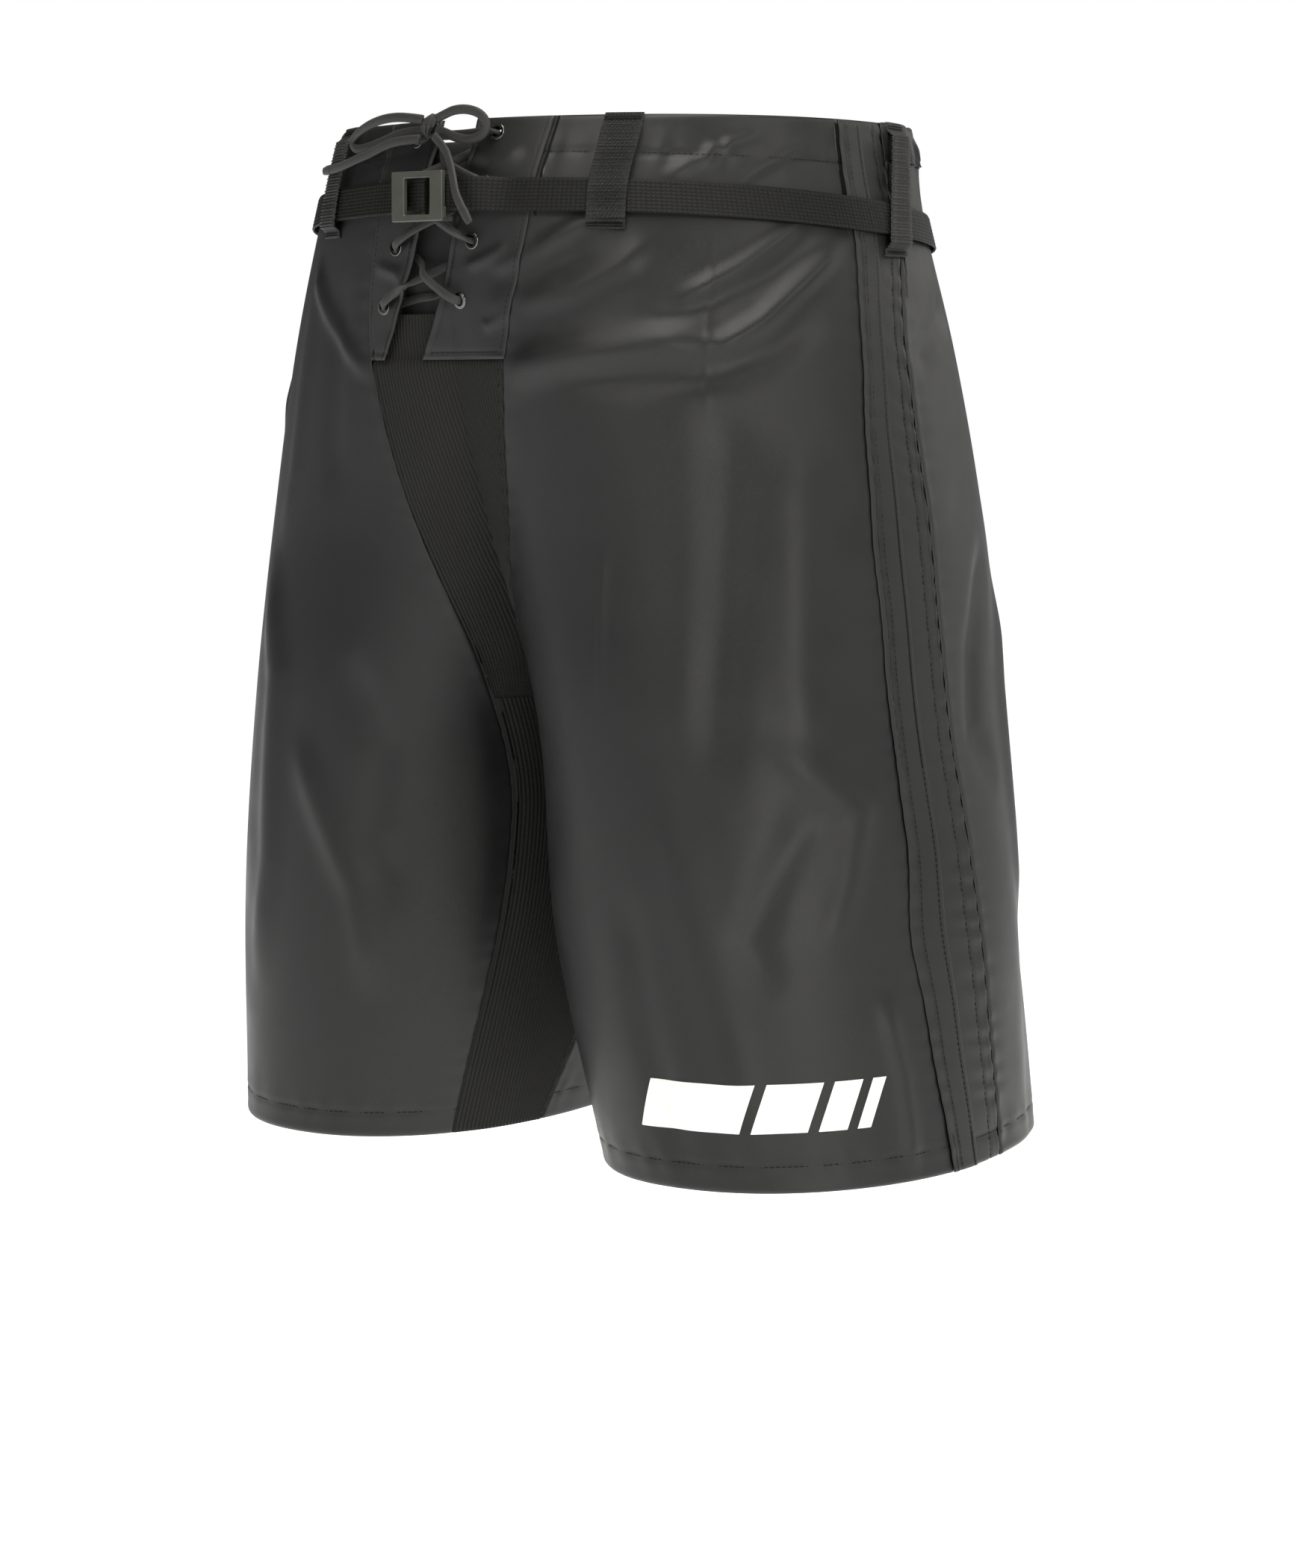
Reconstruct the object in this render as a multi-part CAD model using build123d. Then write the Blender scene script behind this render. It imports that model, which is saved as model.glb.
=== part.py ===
"""Hockey pants: an unpadded hockey pant shell, cut and sewn from woven panels and knit gussets.

Frame: millimetres, +Z up, the front faces -Y, the wearer's left is +X. The origin is the
centre of the waist opening, on the plane of the waist rim. The shell is a wearer's shape, so
every panel follows one "skin": at each height a leg has a superellipse section, and the two
legs' sections merge at the mid plane above the crotch. Fabric is laid on that skin in layers,
given by how far a layer's outer face stands out from it.
"""
import math
import os

from build123d import *

# ---------------------------------------------------------------- driving dimensions
RIM_Z = 0.0             # waist rim
HEM_Z = -590.0          # hem of both legs
CROTCH_Z = -331.0       # height where the gusset forks into the legs
FLY_FOOT_Z = -135.0     # lower end of the lacing placket
TONGUE_TOP_Z = -12.0
TONGUE_OUT = -9.4
HEM_TILT = 0.048        # the hem rises towards the back by this slope

SECTION_POWER = 2.15    # superellipse exponent of every section
# height, leg centre, outer side, inner side (negative = beyond the mid plane), front, back
SECTIONS = (
    (0, 0, 173, -173, 150, 147),
    (-45, 5, 183, -161, 162, 145),
    (-130, 38, 207, -108, 158, 145),
    (-230, 75, 225, -49, 150, 146),
    (-335, 96, 235, 0.4, 155, 147),
    (-460, 114, 250, 7, 150, 146),
    (-590, 139, 256, 36, 135, 155),
)
# angles on a leg's section: -90 front, 0 outer side, 90 back, 180 inner side
FRONT_SEAM = ((0, -68.5), (-60, -73.5), (-135, -86), (-331, -127), (-400, -136), (-590, -131))
FRONT_SEAM_LEAN = ((0, 3), (-60, 0.5), (-135, -3.5), (-300, 0), (-590, 0))
REAR_SEAM = ((-331, 128), (-400, 160), (-590, 198))
STRIPE_FRONT = ((0, -7), (-65, -8), (-135, -14), (-240, -19), (-460, -19), (-590, -10))
STRIPE_REAR = ((0, 6), (-65, 5), (-135, -1), (-240, -1), (-460, 6), (-590, 14))
REAR_GUSSET_TOP_Z = -215.0
REAR_GUSSET_TOP_HALF = 6.0
REAR_GUSSET_FOOT_HALF = 20.0

CROTCH_GAP = 3.2        # the gussets stop this far from the fork
LEVEL_COUNT = 20        # panels are sectioned at this many even heights
SEAM_GAP = 0.7          # clear space between neighbouring panels
LAYER_GAP = 0.6         # clear space between fabric layers
PANEL = 1.5             # panel thickness with its seam allowances and facing
PLACKET = 2.0           # doubled placket
KNIT = 1.3
FACING = 1.2
INNER_LAYER = -2.2      # outer face of a facing behind a panel
STRIPE_FLAP = 1.0
STRIPE_TOP_Z = -68.0    # the flap's head, just below the belt

SLIT_HALF = 13.0        # half width of the open lacing slit
EYELET_OFFSET = 29.0    # eyelet centre from the slit's centre line
EYELET_HEIGHTS = (-8.5, -37.0, -69.0, -102.0)
EYELET_FLANGE = 4.8     # radius
EYELET_BORE = 3.1       # radius
EYELET_BARREL = 3.6     # radius
EYELET_HOLE = 3.9       # radius of the hole in the placket
FLANGE_THICK = 0.9
FLANGE_ROUND = 0.6
FLANGE_STANDS = 0.3     # flange's underside off the placket
WASHER_THICK = 0.5
WASHER_BACK = 1.6       # washer's middle behind the placket

WEBBING = 19.0          # belt webbing width
WEBBING_THICK = 1.4
BELT_MID_Z = -55.0      # at the side seams
BELT_TILT = -0.069      # the belt rises towards the front by this slope
BELT_OUT = 3.2          # belt centre line off the skin
BELT_OVER_FLY = 3.6     # and how much further it stands where it rides over the lacing
LOOP_WIDTH = 21.5
LOOP_ARCH = 4.2         # how far a belt loop stands off between its sewn ends
LOOP_SEWN = 3.0
LOOP_RAMP = 5.0
# belt loops: angle at the head, angle at the foot, length
LOOPS = {"front": (-51, -57.5, 64.0), "side": (12, 2, 77.0), "back": (62, 62, 84.0)}

BUCKLE_X = -5.0
BUCKLE_Z = -44.0
BUCKLE_WIDTH = 38.0
BUCKLE_HEIGHT = 28.0
BUCKLE_WINDOW_WIDTH = 19.0
BUCKLE_WINDOW_HEIGHT = 20.4
BUCKLE_BACK_Y = -170.4  # rear face of the buckle's base
LEVER_STANDS = 6.2      # rear face of the lever's plate in front of that
LEVER_THICK = 2.8
LEVER_CHAMFER = 0.5
THUMB = (1.4, 1.6, 6.4)   # raised grip at the lever's free edge
THUMB_DROP = 9.2
HINGE_INSET = 1.6       # hinge line from the lever's edge
HINGE_STANDS = 3.8      # hinge line in front of the base's rear face
PIN = 1.05              # radius
PIN_HOLE = 1.2          # radius
EAR = 2.1               # radius of the base's hinge ears
KNUCKLE = 2.4           # radius of the lever's knuckle
KNUCKLE_HEIGHT = 12.6
RAIL_HEIGHT = 2.6
RAIL_DEPTH = 3.0
END_BAR = 1.2           # radius
RAISED_BAR = 1.3        # radius

LACE = 3.8              # lace diameter
LACE_OVER = 4.4         # lace centre line in front of a placket
LACE_UNDER = -6.6       # and behind it
KNOT_SIZE = (9, 8, 12)
KNOT_CENTRE = (-11, -160, -4)
# the bow's hand-placed routes: its two loops and two hanging ends (wearer's sides)
LOOP_RIGHT_ROUTE = (
    (-16, -161, 0), (-28, -163, 4), (-43, -162, 5), (-59, -157, 3), (-73, -151, -1), (-82, -146, -4),
    (-86, -144, -9), (-80, -147, -13), (-67, -151, -12), (-51, -155, -9), (-34, -158, -6), (-16, -160, -6),
)
LOOP_LEFT_ROUTE = (
    (-6, -161, 0), (3, -164, 2), (12, -166, 4), (22, -166, 4), (31, -165, 1), (34, -163, -5),
    (29, -162, -11), (19, -162, -13), (9, -162, -11), (1, -161, -8), (-6, -161, -6),
)
END_RIGHT_ROUTE = (
    (-16, -164, -11), (-29, -164, -11), (-44, -162, -13), (-59, -158, -17), (-74, -155, -20),
    (-89, -150, -23), (-104, -144, -24),
)
END_LEFT_ROUTE = (
    (-6, -164, -11), (4, -167, -18), (15, -173, -27), (21.5, -178, -36), (25, -180, -45), (29, -179.5, -53),
)
TIP_LENGTH = 8.0

PRINT_TOP_Z = -529.0
PRINT_HEIGHT = 27.0
PRINT_START = -88.0     # angle of its first slanted edge
PRINT_SEGMENTS = (26.0, 13.0, 7.0, 3.5)     # widths as angles
PRINT_SPACE = 2.6
PRINT_SLANT = 5.5       # how far each end leans over its height

HEM_DEPTH = 17.5
CASING_DEPTH = 21.0


# ---------------------------------------------------------------- the skin
def smooth(stations, height, column=1):
    """Value at a height from (height, value, ...) stations, as a smooth cubic."""
    rows = sorted(stations)
    last = len(rows) - 1
    height = min(max(height, rows[0][0]), rows[last][0])
    i = max(k for k in range(last) if rows[k][0] <= height)

    def slope(k):
        low, high = max(k - 1, 0), min(k + 1, last)
        return (rows[high][column] - rows[low][column]) / (rows[high][0] - rows[low][0])

    span = rows[i + 1][0] - rows[i][0]
    t = (height - rows[i][0]) / span
    return (
        (1 + 2 * t) * (1 - t) ** 2 * rows[i][column]
        + t * (1 - t) ** 2 * span * slope(i)
        + t * t * (3 - 2 * t) * rows[i + 1][column]
        + t * t * (t - 1) * span * slope(i + 1)
    )


def section(height):
    """Leg centre x, and the four semi-axes: outer, inner, front, back."""
    centre, outer, inner, front, back = (smooth(SECTIONS, height, k) for k in range(1, 6))
    return centre, outer - centre, centre - inner, front, back


def leg_xy(height, angle, out=0.0):
    """Point of the left leg's section, `out` mm outside the skin."""
    centre, outer, inner, front, back = section(height)
    c, s = math.cos(math.radians(angle)), math.sin(math.radians(angle))
    a = (outer if c >= 0 else inner) + out
    b = (front if s < 0 else back) + out
    r = (abs(c / a) ** SECTION_POWER + abs(s / b) ** SECTION_POWER) ** (-1 / SECTION_POWER)
    return centre + r * c, r * s


def face_y(x, height, out=0.0, rear=False):
    """How far the front (or rear) skin stands from the XZ plane at a given x."""
    centre, outer, inner, front, back = section(height)
    dx = abs(x) - centre
    a = (outer if dx >= 0 else inner) + out
    b = (back if rear else front) + out
    y = b * max(1 - abs(dx / a) ** SECTION_POWER, 0.0) ** (1 / SECTION_POWER)
    return y if rear else -y


def angle_at(x, height, rear=False):
    """Angle on the left leg's section of the skin point at a given x."""
    y = face_y(x, height, 0.0, rear)
    return math.degrees(math.atan2(y, x - section(height)[0]))


def tilt_at(height):
    """Slope of the cutting plane: level down to the crotch, then easing to the hem's tilt."""
    t = min(max((CROTCH_Z - height) / (CROTCH_Z - HEM_Z), 0.0), 1.0)
    return HEM_TILT * t * t * (3 - 2 * t)


def gap_angle(height):
    """Half a seam gap as an angle."""
    return math.degrees(SEAM_GAP / 2 / section(height)[3])


def front_seam(height, side):
    return smooth(FRONT_SEAM, height) + side * smooth(FRONT_SEAM_LEAN, height)


def rear_seam(height):
    """Angle of the back panel's inner edge: centre back, then the gusset's edge."""
    if height > REAR_GUSSET_TOP_Z:
        return angle_at(0.0, height, rear=True)
    if height > CROTCH_Z:
        t = (REAR_GUSSET_TOP_Z - height) / (REAR_GUSSET_TOP_Z - CROTCH_Z)
        half = REAR_GUSSET_TOP_HALF + t * (REAR_GUSSET_FOOT_HALF - REAR_GUSSET_TOP_HALF)
        return angle_at(half, height, rear=True)
    return smooth(REAR_SEAM, height)


def slit_centre(height):
    """The lacing slit runs towards the wearer's right as it goes down."""
    return 2 - 20 * (height / 100) ** 2


# ---------------------------------------------------------------- ways of making fabric
def even(start, end, count):
    return [start + (end - start) * k / (count - 1) for k in range(count)]


def levels(top, bottom):
    """Section heights of a panel: its ends, and the shared even heights between them."""
    marks = (FLY_FOOT_Z, REAR_GUSSET_TOP_Z, CROTCH_Z + CROTCH_GAP, CROTCH_Z - CROTCH_GAP)
    spread = [h for h in even(RIM_Z, HEM_Z, LEVEL_COUNT) if min(abs(h - m) for m in marks) > 5]
    shared = sorted(spread + list(marks), reverse=True)
    return [top] + [h for h in shared if bottom + 1 < h < top - 1] + [bottom]


def sheet_wire(outer, inner, straight=False):
    """Closed outline between two rows of points, as two curves and two end lines."""
    if straight:
        return Wire.make_polygon(outer + inner[::-1], close=True)
    return Wire([
        Edge.make_spline(outer),
        Edge.make_line(outer[-1], inner[-1]),
        Edge.make_spline(inner[::-1]),
        Edge.make_line(inner[0], outer[0]),
    ])


def strip(line, at_heights, out, thick, tilt=tilt_at, straight=False):
    """Closed panel lofted down its heights. line(height, out) gives its (x, y) course."""
    wires = []
    for height in at_heights:
        slope = tilt(height)
        rows = []
        for layer in (out, out - thick):
            rows.append([Vector(x, y, height + slope * y) for x, y in line(height, layer)])
        wires.append(sheet_wire(*rows, straight))
    return Solid.make_loft(wires, ruled=True)


def mirror_x(points):
    return [(-x, y) for x, y in points]


def leg_line(start, end, side=1, count=9):
    """Course along one leg's section between two angle functions of the height."""
    def line(height, out):
        a, b = start(height), end(height)
        points = [leg_xy(height, a + (b - a) * k / (count - 1), out) for k in range(count)]
        return points if side > 0 else mirror_x(points)
    return line


def front_line(x_start, x_end, count=7):
    """Course across the front between two x functions of the height."""
    def line(height, out):
        a, b = x_start(height), x_end(height)
        xs = [a + (b - a) * k / (count - 1) for k in range(count)]
        return [(x, face_y(x, height, out)) for x in xs]
    return line


# ---------------------------------------------------------------- sewn panels
def front_panel(side):
    def start(h):
        return front_seam(h, side) + gap_angle(h)

    def end(h):
        return smooth(STRIPE_FRONT, h) - gap_angle(h)
    return strip(leg_line(start, end, side, 10), levels(RIM_Z, HEM_Z), 0.0, PANEL)


def back_panel(side):
    def start(h):
        return smooth(STRIPE_REAR, h) + gap_angle(h)

    def end(h):
        return rear_seam(h) - gap_angle(h)
    return strip(leg_line(start, end, side, 12), levels(-CASING_DEPTH, HEM_Z), 0.0, PANEL)


def side_panel(side):
    def start(h):
        return smooth(STRIPE_FRONT, h) + gap_angle(h)

    def end(h):
        return smooth(STRIPE_REAR, h) - gap_angle(h)
    return strip(leg_line(start, end, side, 5), levels(RIM_Z, HEM_Z), 0.0, PANEL)


def side_stripe(side):
    """Folded flap lying on the front part of the side panel."""
    def start(h):
        return smooth(STRIPE_FRONT, h) - 0.6

    def end(h):
        return start(h) + 0.43 * (smooth(STRIPE_REAR, h) - smooth(STRIPE_FRONT, h))
    out = STRIPE_FLAP + LAYER_GAP
    return strip(leg_line(start, end, side, 4), levels(STRIPE_TOP_Z, HEM_Z), out, STRIPE_FLAP)


def crotch_gusset(rear):
    """Knit strip across the mid plane, from seam to seam, forking at the crotch."""
    def line(height, out):
        middle = angle_at(0.0, height, rear)
        if rear:
            edges = {1: rear_seam(height) + gap_angle(height), -1: rear_seam(height) + gap_angle(height)}
        else:
            edges = {side: front_seam(height, side) - gap_angle(height) for side in (1, -1)}
        halves = {}
        for side, edge in edges.items():
            angles = [edge + (middle - edge) * k / 4 for k in range(5)]
            halves[side] = [leg_xy(height, a, out) for a in angles]
            halves[side][-1] = (0.0, face_y(0.0, height, out, rear))
        return mirror_x(halves[-1]) + halves[1][-2::-1]
    top = REAR_GUSSET_TOP_Z - SEAM_GAP if rear else FLY_FOOT_Z - 1.0
    return strip(line, levels(top, CROTCH_Z + CROTCH_GAP), 0.0, KNIT)


def inseam_gusset(side):
    """Knit strip down the inside of a leg, from the crotch to the hem."""
    def line(height, out):
        a = front_seam(height, side) - gap_angle(height)
        b = smooth(REAR_SEAM, height) + gap_angle(height) - 360
        points = [leg_xy(height, a + (b - a) * k / 10, out) for k in range(11)]
        points = [(max(x, 0.3 + max(-out, 0.0)), y) for x, y in points]
        return points if side > 0 else mirror_x(points)
    return strip(line, levels(CROTCH_Z - CROTCH_GAP, HEM_Z), 0.0, KNIT)


def hem_band(side):
    """Hem allowance turned up inside the leg, from one side of the rear gusset seam right round."""
    def start(h):
        return smooth(REAR_SEAM, h) - 360 + 1.0

    def end(h):
        return smooth(REAR_SEAM, h) - 1.0
    return strip(leg_line(start, end, side, 33), levels(HEM_Z + HEM_DEPTH, HEM_Z + 0.5), INNER_LAYER, FACING)


def waist_facing(side):
    """Inner layer of the front waist casing."""
    def start(h):
        return front_seam(h, side) + 1.0

    def end(h):
        return smooth(STRIPE_REAR, h) - 0.5
    return strip(leg_line(start, end, side, 9), levels(RIM_Z, -CASING_DEPTH), INNER_LAYER, FACING)


# ---------------------------------------------------------------- rear waistband
def around_back():
    """Course round the back from one side panel to the other."""
    def line(height, out):
        start = smooth(STRIPE_REAR, height) + gap_angle(height)
        middle = angle_at(0.0, height, rear=True)
        half = [leg_xy(height, start + (middle - start) * k / 12, out) for k in range(13)]
        half[-1] = (0.0, face_y(0.0, height, out, rear=True))
        return half + mirror_x(half[-2::-1])
    return line


def rear_waistband():
    """Fabric casing folded over the elastic: outer wall, top fold and inner wall."""
    bottom = -CASING_DEPTH + SEAM_GAP
    outer = strip(around_back(), (RIM_Z, bottom), 0.0, 0.8)
    inner = strip(around_back(), (RIM_Z, bottom), -3.2, 0.8)
    fold = strip(around_back(), (RIM_Z, RIM_Z - 0.8), 0.0, 4.0)
    return outer + fold + inner


def waist_elastic():
    return strip(around_back(), (-1.4, -CASING_DEPTH + 0.8), -1.2, 1.6)


# ---------------------------------------------------------------- fly
def eyelet_centres(side):
    """(x, z) of one row's eyelets; the wearer's right row sits a little lower."""
    drop = 0.0 if side > 0 else 2.5
    return [(slit_centre(z) + side * EYELET_OFFSET, z - drop) for z in EYELET_HEIGHTS]


def fly_placket(side):
    """Doubled lacing placket with its row of eyelet holes."""
    def seam_x(h):
        return side * (leg_xy(h, front_seam(h, side))[0] - SEAM_GAP / 2)

    def slit_x(h):
        return slit_centre(h) + side * SLIT_HALF
    panel = strip(front_line(slit_x, seam_x), levels(RIM_Z, FLY_FOOT_Z), 0.0, PLACKET)
    for x, z in eyelet_centres(side):
        panel -= eyelet_place(x, z) * Cylinder(EYELET_HOLE, 20)
    return panel


def fly_tongue():
    """Fine knit tongue that closes the slit from behind."""
    def left(h):
        return slit_centre(h) + SLIT_HALF + 9

    def right(h):
        return max(slit_centre(h) - SLIT_HALF - 9, -49)
    return strip(front_line(right, left), levels(TONGUE_TOP_Z, FLY_FOOT_Z - 3), TONGUE_OUT, KNIT)


def eyelet_place(x, z):
    """Plane on the placket's face, its Z axis along the outward normal."""
    step = 2.0
    across = Vector(2 * step, face_y(x + step, z) - face_y(x - step, z), 0)
    down = Vector(0, face_y(x, z - step) - face_y(x, z + step), -2 * step)
    return Plane(origin=(x, face_y(x, z), z), x_dir=across, z_dir=down.cross(across)).location


def eyelet(x, z):
    """Rolled eyelet: domed flange on the front and barrel through the placket."""
    flange = Cylinder(EYELET_FLANGE, FLANGE_THICK, align=(Align.CENTER, Align.CENTER, Align.MIN))
    flange = fillet(flange.edges().group_by(Axis.Z)[-1], FLANGE_ROUND)
    barrel = Cylinder(EYELET_BARREL, PLACKET + 2.2, align=(Align.CENTER, Align.CENTER, Align.MAX))
    body = Pos(0, 0, FLANGE_STANDS) * flange + Pos(0, 0, FLANGE_STANDS + 0.1) * barrel
    return eyelet_place(x, z) * (body - Cylinder(EYELET_BORE, 20))


def eyelet_washer(x, z):
    """Back washer that the barrel is rolled over."""
    ring = Cylinder(EYELET_FLANGE, WASHER_THICK) - Cylinder(EYELET_BARREL + 0.15, 2)
    return eyelet_place(x, z) * Pos(0, 0, -PLACKET - WASHER_BACK) * ring


# ---------------------------------------------------------------- belt and its loops
def belt_point(height, angle, side=1):
    """Belt centre line: it hugs the waist, and rides out over the lacing at the front."""
    height += BELT_TILT * leg_xy(height, angle)[1]
    x = side * leg_xy(height, angle)[0]
    near_fly = max(0.0, 1 - ((x - BUCKLE_X) / 75) ** 2) if angle < 0 else 0.0
    x, y = leg_xy(height, angle, BELT_OUT + BELT_OVER_FLY * near_fly ** 2)
    return side * x, y


def belt_centre_line(height):
    """Course of the webbing in plan, from the sewn end to the free end."""
    rear = BUCKLE_BACK_Y
    bar_x, bar_y = end_bar_place()
    raised_x, raised_y = raised_bar_place()
    hinge_x = hinge_place()[0]
    wrap = END_BAR + 0.5 + WEBBING_THICK / 2
    over_wrap = RAISED_BAR + 0.45 + WEBBING_THICK / 2
    sewn = [(bar_x + 22, rear + 0.6), (bar_x + 13, rear + 0.3), (bar_x + 4, rear)]
    round_bar = [(bar_x - wrap * math.sin(t), bar_y + wrap * math.cos(t)) for t in even(0.3, 2.8, 7)]
    leave = [(bar_x + 8, rear - 3.8), (bar_x + 20, rear - 2.4)]
    middle = angle_at(0.0, height, rear=True)
    sides = even(-12, middle, 18)[:-1]
    left = [belt_point(height, a) for a in even(angle_at(48.5, height), -20, 12) + sides]
    right = [belt_point(height, a, -1) for a in even(angle_at(36.5, height), -20, 11) + sides]
    back = [(0.0, face_y(0.0, height, BELT_OUT, rear=True))]
    enter = [(hinge_x - 4, rear - 0.3), (hinge_x + 2, rear - 0.4), (raised_x - 5, rear - 4)]
    over = [(raised_x + over_wrap * math.sin(t), raised_y - over_wrap * math.cos(t))
            for t in even(0, 2.2, 6)]
    free = [(raised_x - 3, rear + 0.8), (raised_x - 12, rear + 1.5), (raised_x - 20, rear + 1.5)]
    return sewn + round_bar + leave + left + back + right[::-1] + enter + over + free


def belt_webbing():
    """One length of webbing: sewn round the end bar, round the waist, and over the raised bar."""
    def line(height, out):
        course = belt_centre_line(height)
        points = []
        for k, (x, y) in enumerate(course):
            before, after = course[max(k - 1, 0)], course[min(k + 1, len(course) - 1)]
            dx, dy = after[0] - before[0], after[1] - before[1]
            length = math.hypot(dx, dy)
            points.append((x + out * dy / length, y - out * dx / length))
        return points
    ends = (BELT_MID_Z + WEBBING / 2, BELT_MID_Z - WEBBING / 2)
    return strip(line, ends, WEBBING_THICK / 2, WEBBING_THICK, lambda height: BELT_TILT, straight=True)


def belt_loop(side, head, foot, length):
    """Ribbed webbing loop sewn down at its head and foot, with the belt passing behind it."""
    def centre(h):
        return head + (foot - head) * (-h / length)

    def arch(h):
        from_end = min(-h - LOOP_SEWN, length + h - LOOP_SEWN)
        t = min(max(from_end / LOOP_RAMP, 0.0), 1.0)
        return LOOP_ARCH * t * t * (3 - 2 * t)

    def line(height, out):
        angle = centre(height)
        radius = math.dist(leg_xy(height, angle), (section(height)[0], 0))
        half = math.degrees(LOOP_WIDTH / 2 / radius)
        angles = [angle + half * k for k in (-1, -0.33, 0.33, 1)]
        points = [leg_xy(height, a, out + arch(height)) for a in angles]
        return points if side > 0 else mirror_x(points)
    ends = even(0, LOOP_RAMP, 4)
    at = [1.0] + [-LOOP_SEWN - e for e in ends]
    at += even(-LOOP_SEWN - 2 * LOOP_RAMP, -length + LOOP_SEWN + 2 * LOOP_RAMP, 3)
    at += [-length + LOOP_SEWN + e for e in ends[::-1]] + [-length]
    return strip(line, at, 2.0, 1.3)


# ---------------------------------------------------------------- buckle
def windowed_plate(width, height, thick, window, chamfered):
    """Flat frame in XZ, its rear face on y = 0 and its chamfered front face towards -Y."""
    plate = extrude(RectangleRounded(width, height, 1.0), thick)
    plate -= extrude(RectangleRounded(*window, 0.8), thick)
    plate = chamfer(plate.edges().group_by(Axis.Z)[-1], chamfered)
    return Rot(90, 0, 0) * plate


def hinge_place():
    """Hinge line of the lever, at the wearer's-right edge of the buckle."""
    return BUCKLE_X - BUCKLE_WIDTH / 2 + HINGE_INSET, BUCKLE_BACK_Y - HINGE_STANDS


def end_bar_place():
    return BUCKLE_X + BUCKLE_WIDTH / 2 - 5.0, BUCKLE_BACK_Y - 2.2


def raised_bar_place():
    return BUCKLE_X - 0.5, BUCKLE_BACK_Y - 2.4


def buckle_base():
    """Back frame: top and foot rails with round hinge ears, the sewn-end bar and the raised bar."""
    hinge_x, hinge_y = hinge_place()
    rail_end = BUCKLE_X + BUCKLE_WIDTH / 2
    rail_width = rail_end - hinge_x
    inside = BUCKLE_HEIGHT - 2 * RAIL_HEIGHT + 1.0
    body = Pos(*end_bar_place(), BUCKLE_Z) * Cylinder(END_BAR, inside)
    body += Pos(*raised_bar_place(), BUCKLE_Z) * Cylinder(RAISED_BAR, inside)
    for sign in (1, -1):
        z = BUCKLE_Z + sign * (BUCKLE_HEIGHT - RAIL_HEIGHT) / 2
        rail = Box(rail_width, RAIL_DEPTH, RAIL_HEIGHT)
        body += Pos(rail_end - rail_width / 2, BUCKLE_BACK_Y - RAIL_DEPTH / 2, z) * rail
        body += Pos(hinge_x, hinge_y, z) * Cylinder(EAR, RAIL_HEIGHT)
    return body - Pos(hinge_x, hinge_y, BUCKLE_Z) * Cylinder(PIN_HOLE, BUCKLE_HEIGHT + 2)


def buckle_lever():
    """Windowed front frame that swings on the pin and bites the webbing with its knuckle."""
    hinge_x, hinge_y = hinge_place()
    plate_y = BUCKLE_BACK_Y - LEVER_STANDS
    window = (BUCKLE_WINDOW_WIDTH, BUCKLE_WINDOW_HEIGHT)
    plate = windowed_plate(BUCKLE_WIDTH, BUCKLE_HEIGHT, LEVER_THICK, window, LEVER_CHAMFER)
    lever = Pos(BUCKLE_X, plate_y, BUCKLE_Z) * plate
    lever += Pos(hinge_x, hinge_y, BUCKLE_Z) * Cylinder(KNUCKLE, KNUCKLE_HEIGHT)
    web_depth = hinge_y - plate_y + 1.0
    lever += Pos(hinge_x, hinge_y - web_depth / 2, BUCKLE_Z) * Box(2 * HINGE_INSET, web_depth, KNUCKLE_HEIGHT)
    thumb_place = Pos(BUCKLE_X + BUCKLE_WIDTH / 2 + 0.4, plate_y - 1.2, BUCKLE_Z - THUMB_DROP)
    lever += thumb_place * Box(*THUMB)
    return lever - Pos(hinge_x, hinge_y, BUCKLE_Z) * Cylinder(PIN_HOLE, BUCKLE_HEIGHT + 2)


def buckle_pin():
    return Pos(*hinge_place(), BUCKLE_Z) * Cylinder(PIN, BUCKLE_HEIGHT - 1.0)


# ---------------------------------------------------------------- lace
def tube(name, points):
    """Round cord along straight runs joined by tangent arcs; prints its bends and volume check."""
    corners = [Vector(*p) for p in points]
    radii = []
    for before, here, after in zip(corners, corners[1:], corners[2:]):
        run = min((here - before).length, (after - here).length)
        turn = math.radians((here - before).get_angle(after - here))
        radii.append(min(0.45 * run / math.tan(turn / 2), 400.0))
    path = FilletPolyline(*corners, radius=radii)
    profile = Plane(origin=path @ 0, z_dir=path % 0) * Circle(LACE / 2)
    cord = sweep(profile, path=path, transition=Transition.ROUND)
    ratio = cord.volume / (math.pi * LACE ** 2 / 4 * path.length)
    print(f"{name}: length {path.length:.0f}, least radius {min(radii):.1f}, volume ratio {ratio:.3f}")
    return cord


def fly_point(x, z, out):
    return x, face_y(x, z) - out, z


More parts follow.
